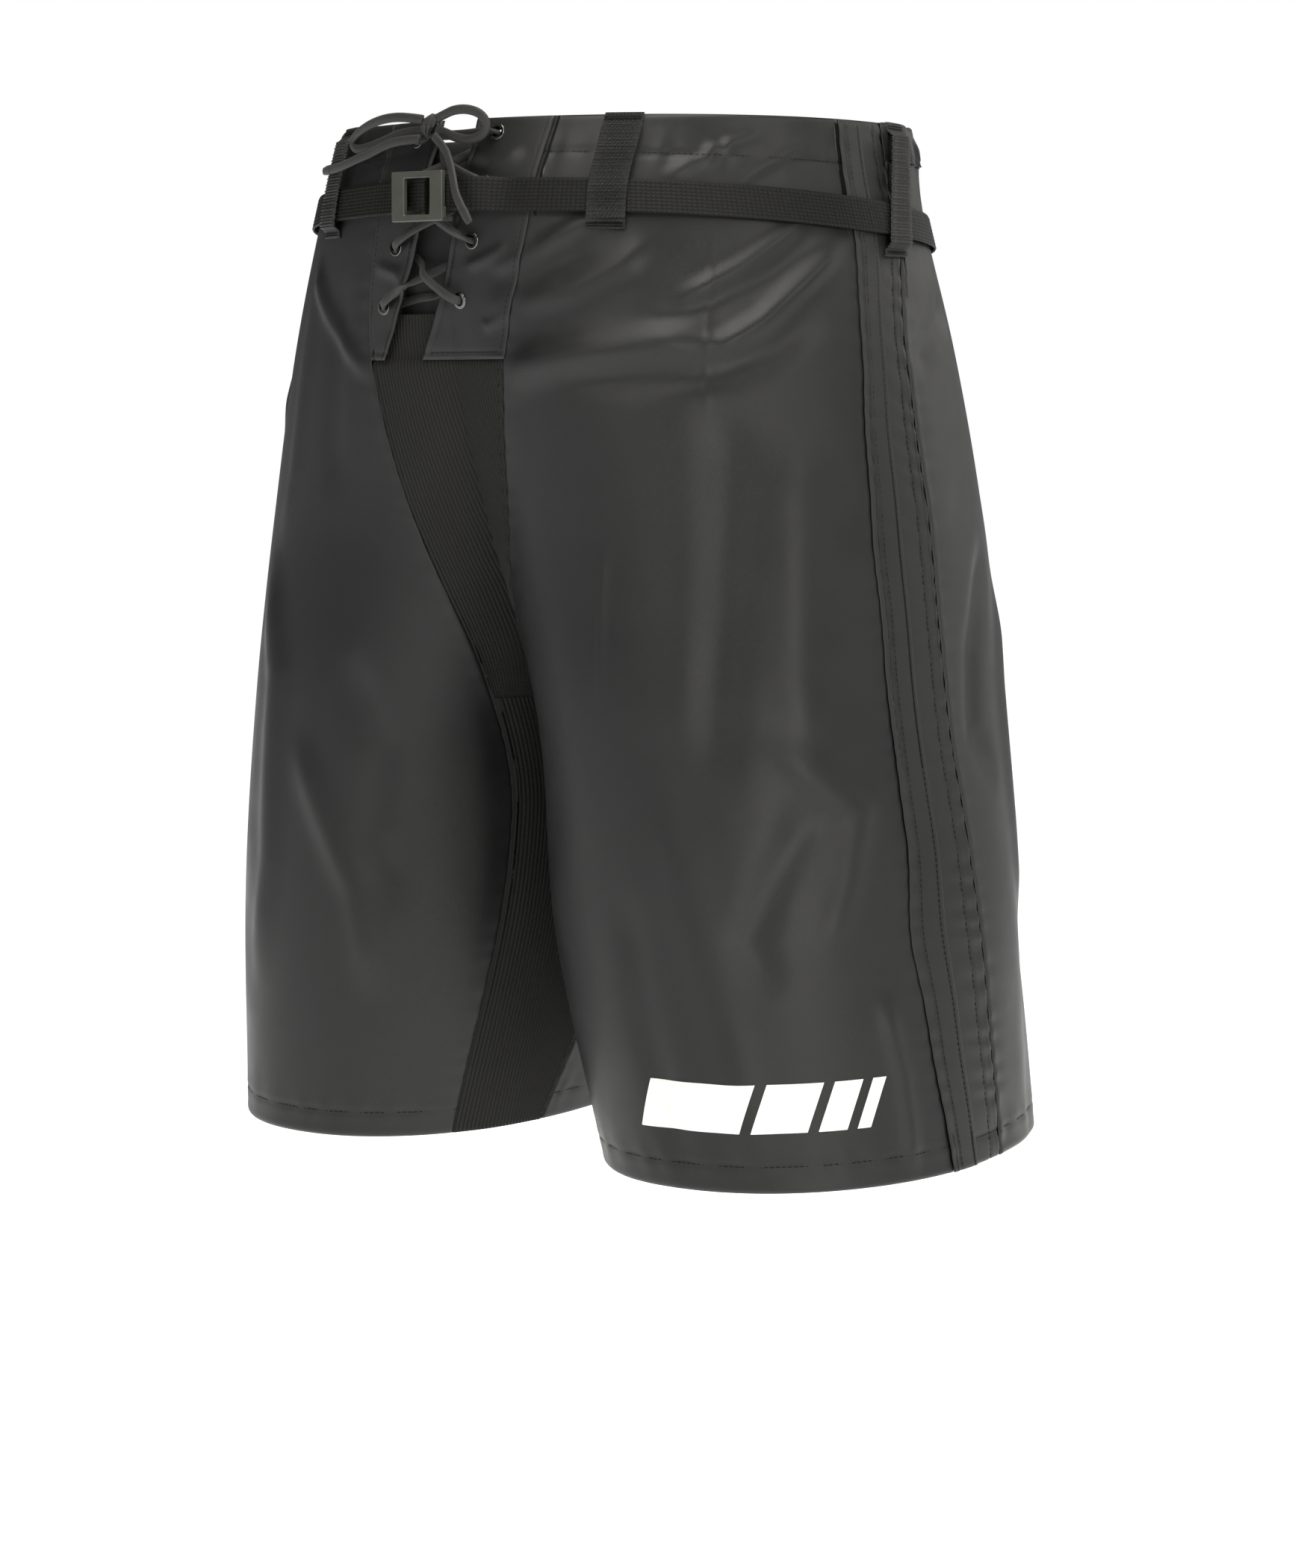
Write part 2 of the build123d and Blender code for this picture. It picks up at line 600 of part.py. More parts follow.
def lacing_half(side):
    """Half of the lacing, from the foot of the fly up through its eyelets to the bow."""
    rows = {1: eyelet_centres(1), -1: eyelet_centres(-1)}
    points = []
    here = side
    for row in (3, 2, 1, 0):
        x, z = rows[here][row]
        for depth in (LACE_UNDER, LACE_OVER):
            points.append(tuple((eyelet_place(x, z) * Pos(0, 0, depth)).position))
        if row:
            next_x, next_z = rows[-here][row - 1]
            rise = next_z - z
            cross = LACE_OVER + 0.9 if here > 0 else -2.4
            middle = slit_centre(z + rise / 2)
            points.append(fly_point(x - here * 14, z + 0.25 * rise, LACE_OVER + 0.4))
            points.append(fly_point(middle, z + 0.5 * rise, cross))
            points.append(fly_point(next_x + here * 15, z + 0.72 * rise, LACE_UNDER))
            here = -here
    end = KNOT_CENTRE[0] + here * (KNOT_SIZE[0] / 2 + 0.5)
    points.append(fly_point((x + end) / 2 + here, z - 1, LACE_OVER))
    points.append((end, KNOT_CENTRE[1] + 3.5, KNOT_CENTRE[2] - 5))
    return points


def lacing():
    """The lace's held length: from the bow down one half, behind the foot, and up the other."""
    foot_z = EYELET_HEIGHTS[-1]
    foot = [fly_point(slit_centre(foot_z), foot_z + 4.0, LACE_UNDER)]
    return tube("lacing", lacing_half(1)[::-1] + foot + lacing_half(-1))


def lace_knot():
    knot = Box(*KNOT_SIZE)
    return Pos(*KNOT_CENTRE) * fillet(knot.edges(), 2.4)


def lace_tips():
    """Fused, slightly frayed end of each hanging lace end."""
    tips = []
    for route in (END_LEFT_ROUTE, END_RIGHT_ROUTE):
        last = Vector(*route[-1])
        heading = (last - Vector(*route[-2])).normalized()
        start = last + heading * 0.2
        tips.append(Solid.make_cylinder(LACE / 2, TIP_LENGTH, Plane(origin=start, z_dir=heading)))
    return Compound(tips)


# ---------------------------------------------------------------- print
def leg_print():
    """Generic heat-transfer mark on the left leg: slanted bars that narrow towards the side."""
    bars = []
    start = PRINT_START
    for width in PRINT_SEGMENTS:
        def edge(shift, start=start):
            return lambda h: start + shift + PRINT_SLANT * (h - PRINT_TOP_Z) / PRINT_HEIGHT
        course = leg_line(edge(0), edge(width), 1, 5)
        bars.append(strip(course, levels(PRINT_TOP_Z, PRINT_TOP_Z - PRINT_HEIGHT), 0.9, 0.3))
        start += width + PRINT_SPACE
    return Compound(bars)


def main():
    os.makedirs("parts", exist_ok=True)
    nodes = {}
    for side, name in ((1, "left"), (-1, "right")):
        nodes[f"front_panel_{name}"] = front_panel(side)
        nodes[f"back_panel_{name}"] = back_panel(side)
        nodes[f"side_panel_{name}"] = side_panel(side)
        nodes[f"side_stripe_{name}"] = side_stripe(side)
        nodes[f"inseam_gusset_{name}"] = inseam_gusset(side)
        nodes[f"hem_band_{name}"] = hem_band(side)
        nodes[f"waist_facing_{name}"] = waist_facing(side)
        nodes[f"fly_placket_{name}"] = fly_placket(side)
        nodes[f"eyelets_{name}"] = Compound([eyelet(x, z) for x, z in eyelet_centres(side)])
        nodes[f"eyelet_washers_{name}"] = Compound([eyelet_washer(x, z) for x, z in eyelet_centres(side)])
        for place, (head, foot, length) in LOOPS.items():
            nodes[f"belt_loop_{place}_{name}"] = belt_loop(side, head, foot, length)
    nodes["gusset_front"] = crotch_gusset(rear=False)
    nodes["gusset_rear"] = crotch_gusset(rear=True)
    nodes["fly_tongue"] = fly_tongue()
    nodes["rear_waistband"] = rear_waistband()
    nodes["waist_elastic"] = waist_elastic()
    nodes["belt_webbing"] = belt_webbing()
    nodes["buckle_base"] = buckle_base()
    nodes["buckle_lever"] = buckle_lever()
    nodes["buckle_pin"] = buckle_pin()
    nodes["lacing"] = lacing()
    nodes["lace_loop_left"] = tube("lace_loop_left", LOOP_LEFT_ROUTE)
    nodes["lace_loop_right"] = tube("lace_loop_right", LOOP_RIGHT_ROUTE)
    nodes["lace_end_left"] = tube("lace_end_left", END_LEFT_ROUTE)
    nodes["lace_end_right"] = tube("lace_end_right", END_RIGHT_ROUTE)
    nodes["lace_knot"] = lace_knot()
    nodes["lace_tips"] = lace_tips()
    nodes["leg_print"] = leg_print()
    for name, shape in nodes.items():
        export_step(shape, f"parts/{name}.step")


main()
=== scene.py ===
"""Looks of the hockey pant shell: draped twill, rib knit, webbing, braided lace and stitching.

Driving values are millimetres and degrees in the frame's axes unless a comment says metres;
every mesh is built in metres. Cloth follows the same skin as the CAD panels, moved by its folds.
"""
import math

import bpy
import numpy as np
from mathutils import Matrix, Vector


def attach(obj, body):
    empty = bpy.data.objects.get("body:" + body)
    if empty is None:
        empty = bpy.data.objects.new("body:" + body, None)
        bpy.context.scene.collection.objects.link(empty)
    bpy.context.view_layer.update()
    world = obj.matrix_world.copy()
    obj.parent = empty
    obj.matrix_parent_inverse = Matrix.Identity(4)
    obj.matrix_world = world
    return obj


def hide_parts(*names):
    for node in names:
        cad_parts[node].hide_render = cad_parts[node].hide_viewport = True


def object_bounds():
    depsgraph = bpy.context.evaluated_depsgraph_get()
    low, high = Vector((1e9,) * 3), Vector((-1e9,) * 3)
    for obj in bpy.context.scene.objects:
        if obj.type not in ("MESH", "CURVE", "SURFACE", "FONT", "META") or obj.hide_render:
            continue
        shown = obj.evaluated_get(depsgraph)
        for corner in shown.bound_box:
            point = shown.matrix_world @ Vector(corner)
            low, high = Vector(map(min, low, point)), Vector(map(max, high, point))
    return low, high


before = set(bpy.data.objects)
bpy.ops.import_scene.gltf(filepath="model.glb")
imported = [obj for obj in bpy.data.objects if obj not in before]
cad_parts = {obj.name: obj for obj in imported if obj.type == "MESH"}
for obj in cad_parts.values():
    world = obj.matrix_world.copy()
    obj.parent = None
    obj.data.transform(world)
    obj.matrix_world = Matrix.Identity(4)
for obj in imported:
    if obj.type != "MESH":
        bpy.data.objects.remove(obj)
CAD_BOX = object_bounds()
MM = 0.001
SHELL = "shell"
SIDES = ((1, "left"), (-1, "right"))

# ---------------------------------------------------------------- driving values
RIM_Z = 0.0
HEM_Z = -590.0
CROTCH_Z = -331.0
FLY_FOOT_Z = -135.0
HEM_TILT = 0.048
SECTION_POWER = 2.15
# height, leg centre, outer side, inner side, front, back
SECTIONS = (
    (0, 0, 173, -173, 150, 147),
    (-45, 5, 183, -161, 162, 145),
    (-130, 38, 207, -108, 158, 145),
    (-230, 75, 225, -49, 150, 146),
    (-335, 96, 235, 0.4, 155, 147),
    (-460, 114, 250, 7, 150, 146),
    (-590, 139, 256, 36, 135, 155),
)
# seams: height, angle on the section (-90 front, 0 outer side, 90 back, 180 inner side)
FRONT_SEAM = ((0, -68.5), (-60, -73.5), (-135, -86), (-331, -127), (-400, -136), (-590, -131))
FRONT_SEAM_LEAN = ((0, 3), (-60, 0.5), (-135, -3.5), (-300, 0), (-590, 0))
REAR_SEAM = ((-331, 128), (-400, 160), (-590, 198))
STRIPE_FRONT = (
    (0, -7), (-65, -8), (-135, -14), (-240, -19), (-330, -19.5), (-400, -18), (-455, -19.8), (-500, -17),
    (-590, -10),
)
STRIPE_REAR = ((0, 6), (-65, 5), (-135, -1), (-240, -1), (-460, 6), (-590, 14))
STRIPE_FLAP_SHARE = 0.43
STRIPE_STITCHES = (0.12, 0.36, 0.76, 0.985)
REAR_GUSSET_TOP_Z = -215.0
REAR_GUSSET_TOP_HALF = 6.0
REAR_GUSSET_FOOT_HALF = 20.0
CASING_DEPTH = 21.0
HEM_DEPTH = 17.5
HEM_STITCH = 15.0
CASING_SEAM_DROP = 5.0
PLACKET_STITCH = 4.0
SEAM_STITCH = 3.0
BAND_FOLD_Z = -1.6
BAND_BACK = -3.8
BAND_ANGLES = (6, 90)
ELASTIC_CUT = (0.56, 0.046)     # metres of casing before it is gathered
INNER_LAYER = -2.2
TWILL = 0.45
KNIT = 0.9
CLOTH_STEP = 2.3            # mesh spacing of a panel
EDGE_STEPS = (0.0, 0.3, 0.7, 1.3, 2.3, 4.0)     # closer rows beside a sewn edge

SLIT_HALF = 13.0
EYELET_OFFSET = 29.0
EYELET_HEIGHTS = (-8.5, -37.0, -69.0, -102.0)
EYELET_HOLE = 3.75
TONGUE_TOP_Z = -12.0
TONGUE_OUT = -9.4
GUSSET_HEAD_Z = -109.0

WEBBING = 19.0
WEBBING_THICK = 1.4
BELT_MID_Z = -55.0
BELT_TILT = -0.069
BELT_OUT = 3.2
BELT_OVER_FLY = 3.6
BELT_RIB = 2.8
BELT_YARN = 2.0
LOOP_WIDTH = 21.5
LOOP_RIB = 1.8
RIB = 2.4                   # pitch of the rib knit
LOOP_ARCH = 4.2
LOOP_SEWN = 3.0
LOOP_RAMP = 5.0
LOOPS = {"front": (-51, -57.5, 64.0), "side": (12, 2, 77.0), "back": (62, 62, 84.0)}

BUCKLE_X = -5.0
BUCKLE_WIDTH = 38.0
BUCKLE_BACK_Y = -170.4
HINGE_INSET = 1.6
END_BAR = 1.2
RAISED_BAR = 1.3

LACE_WIDTH = 5.2
LACE_THICK = 2.5
LACE_OVER = 4.4
LACE_UNDER = -6.6
PLAITS = 4
PLAIT_PITCH = 3.4
KNOT_SIZE = (9, 8, 12)
KNOT_CENTRE = (-11, -160, -4)
# wraps of the knot: sideways shift, shares of its depth and height, and lean
KNOT_WRAPS = ((0.0, 0.78, 0.95, 0.0), (1.9, 0.70, 0.86, 0.5), (-2.0, 0.62, 0.80, -0.55))
LOOP_RIGHT_ROUTE = (
    (-16, -161, 0), (-28, -163, 2), (-43, -162, 2), (-59, -157, 0), (-73, -151, -3), (-83, -146, -6),
    (-87, -144, -10), (-80, -147, -14), (-67, -151, -13), (-51, -155, -10), (-34, -158, -6), (-16, -160, -6),
)
LOOP_LEFT_ROUTE = (
    (-6, -161, 0), (3, -164, 2), (12, -166, 4), (22, -166, 4), (31, -165, 1), (34, -163, -5),
    (29, -162, -11), (19, -162, -13), (9, -162, -11), (1, -161, -8), (-6, -161, -6),
)
END_RIGHT_ROUTE = (
    (-16, -164, -11), (-29, -164, -11), (-44, -162, -13), (-59, -158, -17), (-74, -155, -20),
    (-89, -150, -23), (-104, -144, -24),
)
END_LEFT_ROUTE = (
    (-5, -164, -10), (6, -167, -17), (15, -173, -27), (21.5, -178, -36), (25, -180, -45), (30, -179.5, -53),
)
TIP_LENGTH = 8.0

PRINT_TOP_Z = -529.0
PRINT_HEIGHT = 27.0
PRINT_START = -88.0
PRINT_SEGMENTS = (26.0, 13.0, 7.0, 3.5)
PRINT_SPACE = 2.6
PRINT_SLANT = 5.5

# folds of the cloth: side, lift, half width, and a line of (angle, height) points
FOLDS = (
    (1, 5.4, 9.5, ((-98, -148), (-83, -138), (-69, -131), (-54, -126), (-42, -126))),
    (1, 4.8, 6.0, ((-50, -128), (-42, -127), (-34, -115), (-21, -88), (-10, -65))),
    (1, -2.6, 8.0, ((-80, -150), (-60, -146), (-44, -143), (-32, -130), (-20, -106))),
    (1, 3.0, 4.5, ((-50, -108), (-46, -100), (-35, -85), (-25, -68), (-18, -55))),
    (1, -2.0, 6.0, ((-58, -116), (-42, -106), (-29, -88), (-18, -68))),
    (1, 2.6, 4.0, ((-86, -88), (-76, -78), (-63, -62), (-52, -54))),
    (1, 3.0, 7.0, ((-92, -110), (-83, -105), (-69, -98), (-56, -82), (-48, -66))),
    (1, -1.6, 6.0, ((-88, -94), (-74, -86), (-60, -72))),
    (1, 0.35, 1.6, ((-37, -60), (-41, -90), (-46, -132), (-50, -172))),
    (1, 1.6, 3.2, ((-92, -84), (-86, -80), (-78, -72))),
    (1, 1.4, 3.0, ((-93, -118), (-88, -114), (-82, -108))),
    (1, 1.7, 3.5, ((-88, -24), (-80, -28), (-71, -20))),
    (1, 2.0, 4.0, ((-24, -8), (-34, -20), (-46, -38))),
    (1, 1.5, 3.0, ((-15, -14), (-24, -26), (-33, -40))),
    (-1, 1.6, 3.5, ((-90, -98), (-84, -86), (-76, -80))),
    (1, 0.8, 2.6, ((-79, -235), (-82, -268), (-86, -330))),
    (1, -4.5, 17.0, ((-44, -140), (-48, -192), (-54, -252), (-59, -312), (-64, -390))),
    (1, 3.4, 16.0, ((-33, -170), (-38, -240), (-42, -310), (-40, -370))),
    (1, 3.6, 11.0, ((-52, -340), (-43, -360), (-31, -385), (-36, -425), (-44, -470))),
    (1, -3.4, 12.0, ((-40, -372), (-52, -420), (-58, -452), (-54, -490))),
    (1, 3.0, 15.0, ((-72, -360), (-70, -440), (-66, -510), (-66, -590))),
    (1, -2.2, 12.0, ((-84, -420), (-86, -500), (-84, -590))),
    (1, -3.0, 9.0, ((24, -98), (10, -120), (0, -140))),
    (1, 3.0, 8.0, ((-30, -480), (-26, -530), (-24, -590))),
    (1, -4.0, 12.0, ((26, -230), (14, -300), (12, -345), (24, -380))),
    (1, 4.0, 12.0, ((44, -250), (34, -320), (36, -400), (42, -480))),
    (-1, 1.6, 10.0, ((-53, -72), (-56, -130), (-60, -200), (-58, -250))),
    (-1, -1.4, 11.0, ((-66, -80), (-72, -150), (-80, -220))),
    (-1, 3.6, 14.0, ((-51, -240), (-68, -320), (-71, -430), (-66, -520))),
    (-1, -3.6, 12.0, ((-92, -300), (-103, -360), (-103, -410), (-112, -460))),
    (-1, 3.4, 11.0, ((-78, -350), (-86, -385), (-100, -440), (-108, -510))),
    (-1, 2.4, 5.0, ((-88, -150), (-74, -128), (-60, -100), (-50, -74))),
    (-1, 2.6, 6.0, ((-40, -180), (-30, -140), (-20, -96), (-14, -66))),
    (-1, -3.0, 12.0, ((-30, -260), (-34, -360), (-30, -470))),
)
DEGREE_ARC = 2.9            # millimetres of cloth in a degree, for the folds

CAMERA_TURN = 38.5
CAMERA_RISE = 5.3
CAMERA_AIM = (0.0174, -0.3877)      # metres to the right of the origin, and up
CAMERA_DISTANCE = 2.42              # metres
CAMERA_LENS = 92.2
FLOOR_GLOW = 0.88
AMBIENT = 0.22                      # strength of the white surround that lights the cloth
AMBIENT_LEAN = (0.15, 0.07, 0.03)   # it is brighter to the wearer's left, behind and above
LIGHT_COLOUR = (1.0, 0.98, 0.92)
# place in metres, side in metres and power in watts
LIGHTS = {
    "key": ((0.6, -1.8, 1.6), 0.9, 17),
    "fill": ((2.4, -0.8, 0.7), 1.2, 26),
    "top": ((0.3, -0.4, 1.8), 1.1, 30),
    "rear": ((0.6, 2.2, 0.9), 1.6, 10),
}


# ---------------------------------------------------------------- the skin
def cubic(values, steep, i, t, span):
    """Smooth curve between values i and i + 1, at a share t of their span."""
    return (
        (1 + 2 * t) * (1 - t) ** 2 * values[i]
        + t * (1 - t) ** 2 * span * steep[i]
        + t * t * (3 - 2 * t) * values[i + 1]
        + t * t * (t - 1) * span * steep[i + 1]
    )


def smooth(stations, height, column=1):
    """Values at heights from (height, value, ...) stations, as a smooth cubic."""
    rows = np.array(sorted(stations), float)
    x, v = rows[:, 0], rows[:, column]
    steep = np.empty(len(x))
    steep[1:-1] = (v[2:] - v[:-2]) / (x[2:] - x[:-2])
    steep[0] = (v[1] - v[0]) / (x[1] - x[0])
    steep[-1] = (v[-1] - v[-2]) / (x[-1] - x[-2])
    h = np.clip(height, x[0], x[-1])
    i = np.clip(np.searchsorted(x, h, side="right") - 1, 0, len(x) - 2)
    span = x[i + 1] - x[i]
    return cubic(v, steep, i, (h - x[i]) / span, span)


def section(height):
    centre, outer, inner, front, back = (smooth(SECTIONS, height, k) for k in range(1, 6))
    return centre, outer - centre, centre - inner, front, back


def leg_xy(height, angle, out=0.0):
    """Point of the left leg's section, out mm outside the skin."""
    centre, outer, inner, front, back = section(height)
    c, s = np.cos(np.radians(angle)), np.sin(np.radians(angle))
    a = np.where(c >= 0, outer, inner) + out
    b = np.where(s < 0, front, back) + out
    r = (np.abs(c / a) ** SECTION_POWER + np.abs(s / b) ** SECTION_POWER) ** (-1 / SECTION_POWER)
    return centre + r * c, r * s


def face_y(x, height, out=0.0, rear=False):
    """Front (or rear) skin at a given x."""
    centre, outer, inner, front, back = section(height)
    dx = np.abs(x) - centre
    a = np.where(dx >= 0, outer, inner) + out
    b = (back if rear else front) + out
    y = b * np.maximum(1 - np.abs(dx / a) ** SECTION_POWER, 0.0) ** (1 / SECTION_POWER)
    return y if rear else -y


def angle_at(x, height, rear=False):
    return np.degrees(np.arctan2(face_y(x, height, 0.0, rear), np.abs(x) - section(height)[0]))


def run_lengths(points):
    """Distance along a line at each of its points."""
    return np.concatenate([[0], np.cumsum(np.linalg.norm(np.diff(points, axis=0), axis=1))])


def ease(t):
    """0 to 1 with soft ends."""
    t = np.clip(t, 0.0, 1.0)
    return t * t * (3 - 2 * t)


def tilt_at(height):
    return HEM_TILT * ease((CROTCH_Z - height) / (CROTCH_Z - HEM_Z))


def front_seam(height, side):
    return smooth(FRONT_SEAM, height) + side * smooth(FRONT_SEAM_LEAN, height)


def front_seam_x(height, side):
    return side * leg_xy(height, front_seam(height, side))[0]


def rear_seam(height):
    """Inner edge of the back panel: centre back, the gusset's edge, then the inseam."""
    t = (REAR_GUSSET_TOP_Z - height) / (REAR_GUSSET_TOP_Z - CROTCH_Z)
    half = REAR_GUSSET_TOP_HALF + t * (REAR_GUSSET_FOOT_HALF - REAR_GUSSET_TOP_HALF)
    half = np.where(height > REAR_GUSSET_TOP_Z, 0.0, half)
    return np.where(height > CROTCH_Z, angle_at(half, height, rear=True), smooth(REAR_SEAM, height))


def slit_centre(height):
    return 2 - 20 * (height / 100) ** 2


# ---------------------------------------------------------------- folds
def stroke_lift(height, angle, lift, width, points):
    """A fold along a line of points, fading at its ends."""
    line = np.array([(a * DEGREE_ARC, h) for a, h in points], float)
    lengths = np.linalg.norm(np.diff(line, axis=0), axis=1)
    total, done = lengths.sum(), 0.0
    nearest = np.full(np.shape(height), 1e9)
    along = np.zeros(np.shape(height))
    for start, end, length in zip(line, line[1:], lengths):
        dx, dy = (end - start) / length
        px, py = angle * DEGREE_ARC - start[0], height - start[1]
        t = np.clip(px * dx + py * dy, 0, length)
        distance = np.hypot(px - t * dx, py - t * dy)
        closer = distance < nearest
        nearest = np.where(closer, distance, nearest)
        along = np.where(closer, done + t, along)
        done += length
    ends = ease(along / total / 0.22) * ease((total - along) / total / 0.22)
    return lift * np.exp(-(nearest / width) ** 2) * ends


def gather_waves(angle, drift):
    """The two sines that the elastic's puckers are made of."""
    phase = angle * 0.86 + 1.3 * np.sin(angle * 0.21) + drift
    return np.sin(phase), np.sin(phase * 1.83 + 1)


def gathers(height, angle):
    """Puckers of the elastic waist, from behind the side seam round the back."""
    behind = ease((angle - smooth(STRIPE_REAR, height) - 1) / 7)
    down = np.exp(-np.maximum(-CASING_DEPTH - height, 0.0) / 26)
    wide, fine = gather_waves(angle, 0.6 * np.sin(height * 0.09 + angle * 0.3))
    return behind * down * (1.5 + 1.7 * (0.65 * wide + 0.35 * fine))


def drape(height, angle, side):
    """How far the cloth stands off the skin: its folds, slow waves and gathers, per leg."""
    angle = np.where(angle > 180, angle - 360, angle)
    lift = np.zeros(np.broadcast(height, angle).shape)
    height, angle = height + lift, angle + lift
    for fold_side, amount, width, points in FOLDS:
        if fold_side == side:
            lift += stroke_lift(height, angle, amount, width, points)
    turn = np.radians(angle)
    loose = ease((-95 - height) / 160)
    wave = np.sin(3 * turn + 0.9 * side + height / 140) + 0.6 * np.sin(5 * turn - height / 95 + 2)
    rear = ease((angle - 20) / 30) * ease((175 - angle) / 20)
    back_wave = np.sin(turn * 9 + height / 160 + side) + 0.5 * np.sin(turn * 15 - height / 70)
    lift += loose * (0.9 * wave + 1.8 * rear * back_wave)
    inner = ease((np.abs(angle) - 140) / 25) * ease((CROTCH_Z + 40 - height) / 60)
    lift *= 1 - 0.85 * inner
    lift += gathers(height, angle)
    held = 1 - 0.6 * np.exp(-((angle - front_seam(height, side)) / 5) ** 2)
    return lift * ease(-height / 14) * held


def groove(distance, depth, width=1.0):
    """Dip across a stitch line."""
    return -depth * np.exp(-(distance / width) ** 2)


def hem_groove(height):
    return groove(height - HEM_Z - HEM_STITCH, 0.45)


def seam_dip(distance):
    """Cloth turning in to a sewn edge, with the seam allowance raising it just beside."""
    return groove(distance, 0.9, 0.65) - groove(distance - 3.0, 0.22, 1.6)


# ---------------------------------------------------------------- meshes
def grid_quads(rows, columns):
    index = np.arange(rows * columns).reshape(rows, columns)
    return np.stack([index[:-1, :-1], index[1:, :-1], index[1:, 1:], index[:-1, 1:]], -1).reshape(-1, 4)


def new_object(name, points, faces, flat=None):
    """Smooth mesh object from points in metres, with its flat cloth coordinates as a UV map."""
    mesh = bpy.data.meshes.new(name)
    mesh.from_pydata(np.asarray(points, float).tolist(), [], faces)
    if flat is not None:
        corner = np.empty(len(mesh.loops), np.int32)
        mesh.loops.foreach_get("vertex_index", corner)
        layer = mesh.uv_layers.new(name="cloth")
        layer.data.foreach_set("uv", np.asarray(flat, np.float32)[corner].ravel())
    mesh.shade_smooth()
    obj = bpy.data.objects.new(name, mesh)
    bpy.context.scene.collection.objects.link(obj)
    return obj


def shell_mesh(name, front, back, flat, highlight_and_edge_tint_mask):
    """Closed cloth from two (rows, columns, 3) layers, with how much each point's colour is lightened:
    painted highlight on rib and weave ridges, and a lighter tone beside sewn edges.
    """
    rows, columns = front.shape[:2]
    count = rows * columns
    face = grid_quads(rows, columns)
    index = np.arange(count).reshape(rows, columns)
    border = np.concatenate([index[0, :], index[1:, -1], index[-1, -2::-1], index[-2:0:-1, 0]])
    after = np.roll(border, -1)
    sides = np.stack([border, after, after + count, border + count], -1)
    quads = np.concatenate([face, face[:, ::-1] + count, sides])
    points = np.concatenate([front.reshape(-1, 3), back.reshape(-1, 3)]) * MM
    obj = new_object(name, points, quads.tolist(), np.tile(flat.reshape(-1, 2), (2, 1)))
    # per-point colour lightening: painted highlight on rib and weave ridges, and a lighter tone beside sewn
    # edges
    highlight_and_edge_tint = obj.data.attributes.new("highlight_and_edge_tint", "FLOAT", "POINT")
    highlight_and_edge_tint.data.foreach_set("value", np.tile(highlight_and_edge_tint_mask.ravel(), 2).astype(np.float32))
    return obj


def spaced(length, step):
    """Distances from 0 to a length, closer together beside both ends."""
    edge = np.array(EDGE_STEPS)
    middle = np.linspace(edge[-1], length - edge[-1], max(int(length / step), 3))[1:-1]
    return np.concatenate([edge, middle, length - edge[::-1]])


def finish_piece(obj, slot, *replaced, material=None):
    """Give a piece its slot's look, the shell to ride on and the CAD nodes it stands for."""
    obj.data.materials.append(material or LOOKS[slot])
    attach(obj, SHELL)
    if replaced:
        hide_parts(*replaced)
    return obj


def leg_course(start, end, side):
    """Cloth across one leg between two angle functions of the height."""
    def place(height, t, out):
        angle = start(height) + (end(height) - start(height)) * t
        x, y = leg_xy(height, angle, out + drape(height, angle, side))
        keep = ease((CROTCH_Z - height) / 5)
        x = np.where(keep > 0, np.maximum(x, 0.35 * keep + np.maximum(-out, 0.0) * keep), x)
        return side * x, y
    return place


def front_course(x_start, x_end, rear=False):
    """Cloth across the mid plane between two x functions of the height."""
    def place(height, t, out):
        x = x_start(height) + (x_end(height) - x_start(height)) * t
        angle = angle_at(x, height, rear)
        lift = np.where(x >= 0, drape(height, angle, 1), drape(height, angle, -1))
        return x, face_y(x, height, out + lift * ease(np.abs(x) / 24), rear)
    return place


def cloth(name, course, top, bottom, out=0.0, thick=TWILL, edges=(1, 1, 1, 1), step=CLOTH_STEP,
          relief=None, column_step=None, ribbed=False):
    """Closed sheet of cloth on a course. edges are the dips at its start, end, top and bottom."""
    down = spaced(top - bottom, step)[:, None]
    height = top - down
    x, y = course(height, np.linspace(0, 1, 40)[None, :], out)
    arc = np.cumsum(np.hypot(np.diff(x, axis=1), np.diff(y, axis=1)), axis=1)
    width = arc[:, -1:]
    widest = width.max()
    column = spaced(float(widest), column_step or step)[None, :] / widest
    middle = (column > EDGE_STEPS[-1] / widest) & (column < 1 - EDGE_STEPS[-1] / widest)
    beside_edge = np.where(column < 0.5, column * widest, width - (1 - column) * widest)
    across = np.where(middle, column * width, beside_edge)
    t = across / width
    dips = [across, width - across, down + 0 * t, (top - bottom) - down + 0 * t]
    lift = sum(amount * seam_dip(distance) for amount, distance in zip(edges, dips))
    if relief:
        lift = lift + relief(height + 0 * t, t, across, width - across)
    layers = []
    for depth in (0.0, thick):
        x, y = course(height, t, out + lift - depth)
        z = height + tilt_at(height) * y
        layers.append(np.stack([x, y, z], -1))
    # colour lightening beside sewn edges
    highlight_and_edge_tint_mask = np.exp(-np.minimum.reduce(dips) / 2.2)
    # rib knit: painted highlight on the rib ridges in its place
    if ribbed:
        highlight_and_edge_tint_mask = np.abs(np.cos(math.pi * across / RIB))
    flat = np.stack([across, height + 0 * t], -1) * MM
    obj = shell_mesh(name, *layers, flat, highlight_and_edge_tint_mask)
    length = (top - bottom) * MM
    obj["cut"] = (float(widest) * MM, length, float(width.mean()) * MM * length)
    return obj


def declare_sheet(obj):
    """Removes the cut size that cloth stored on a sewn panel."""
    del obj["cut"]


def panel(name, course, top, bottom, slot, node, rests_on, held="hung", **cut):
    """Cloth on a course, in the place of a CAD node."""
    obj = cloth(name, course, top, bottom, **cut)
    finish_piece(obj, slot, node)
    declare_sheet(obj)


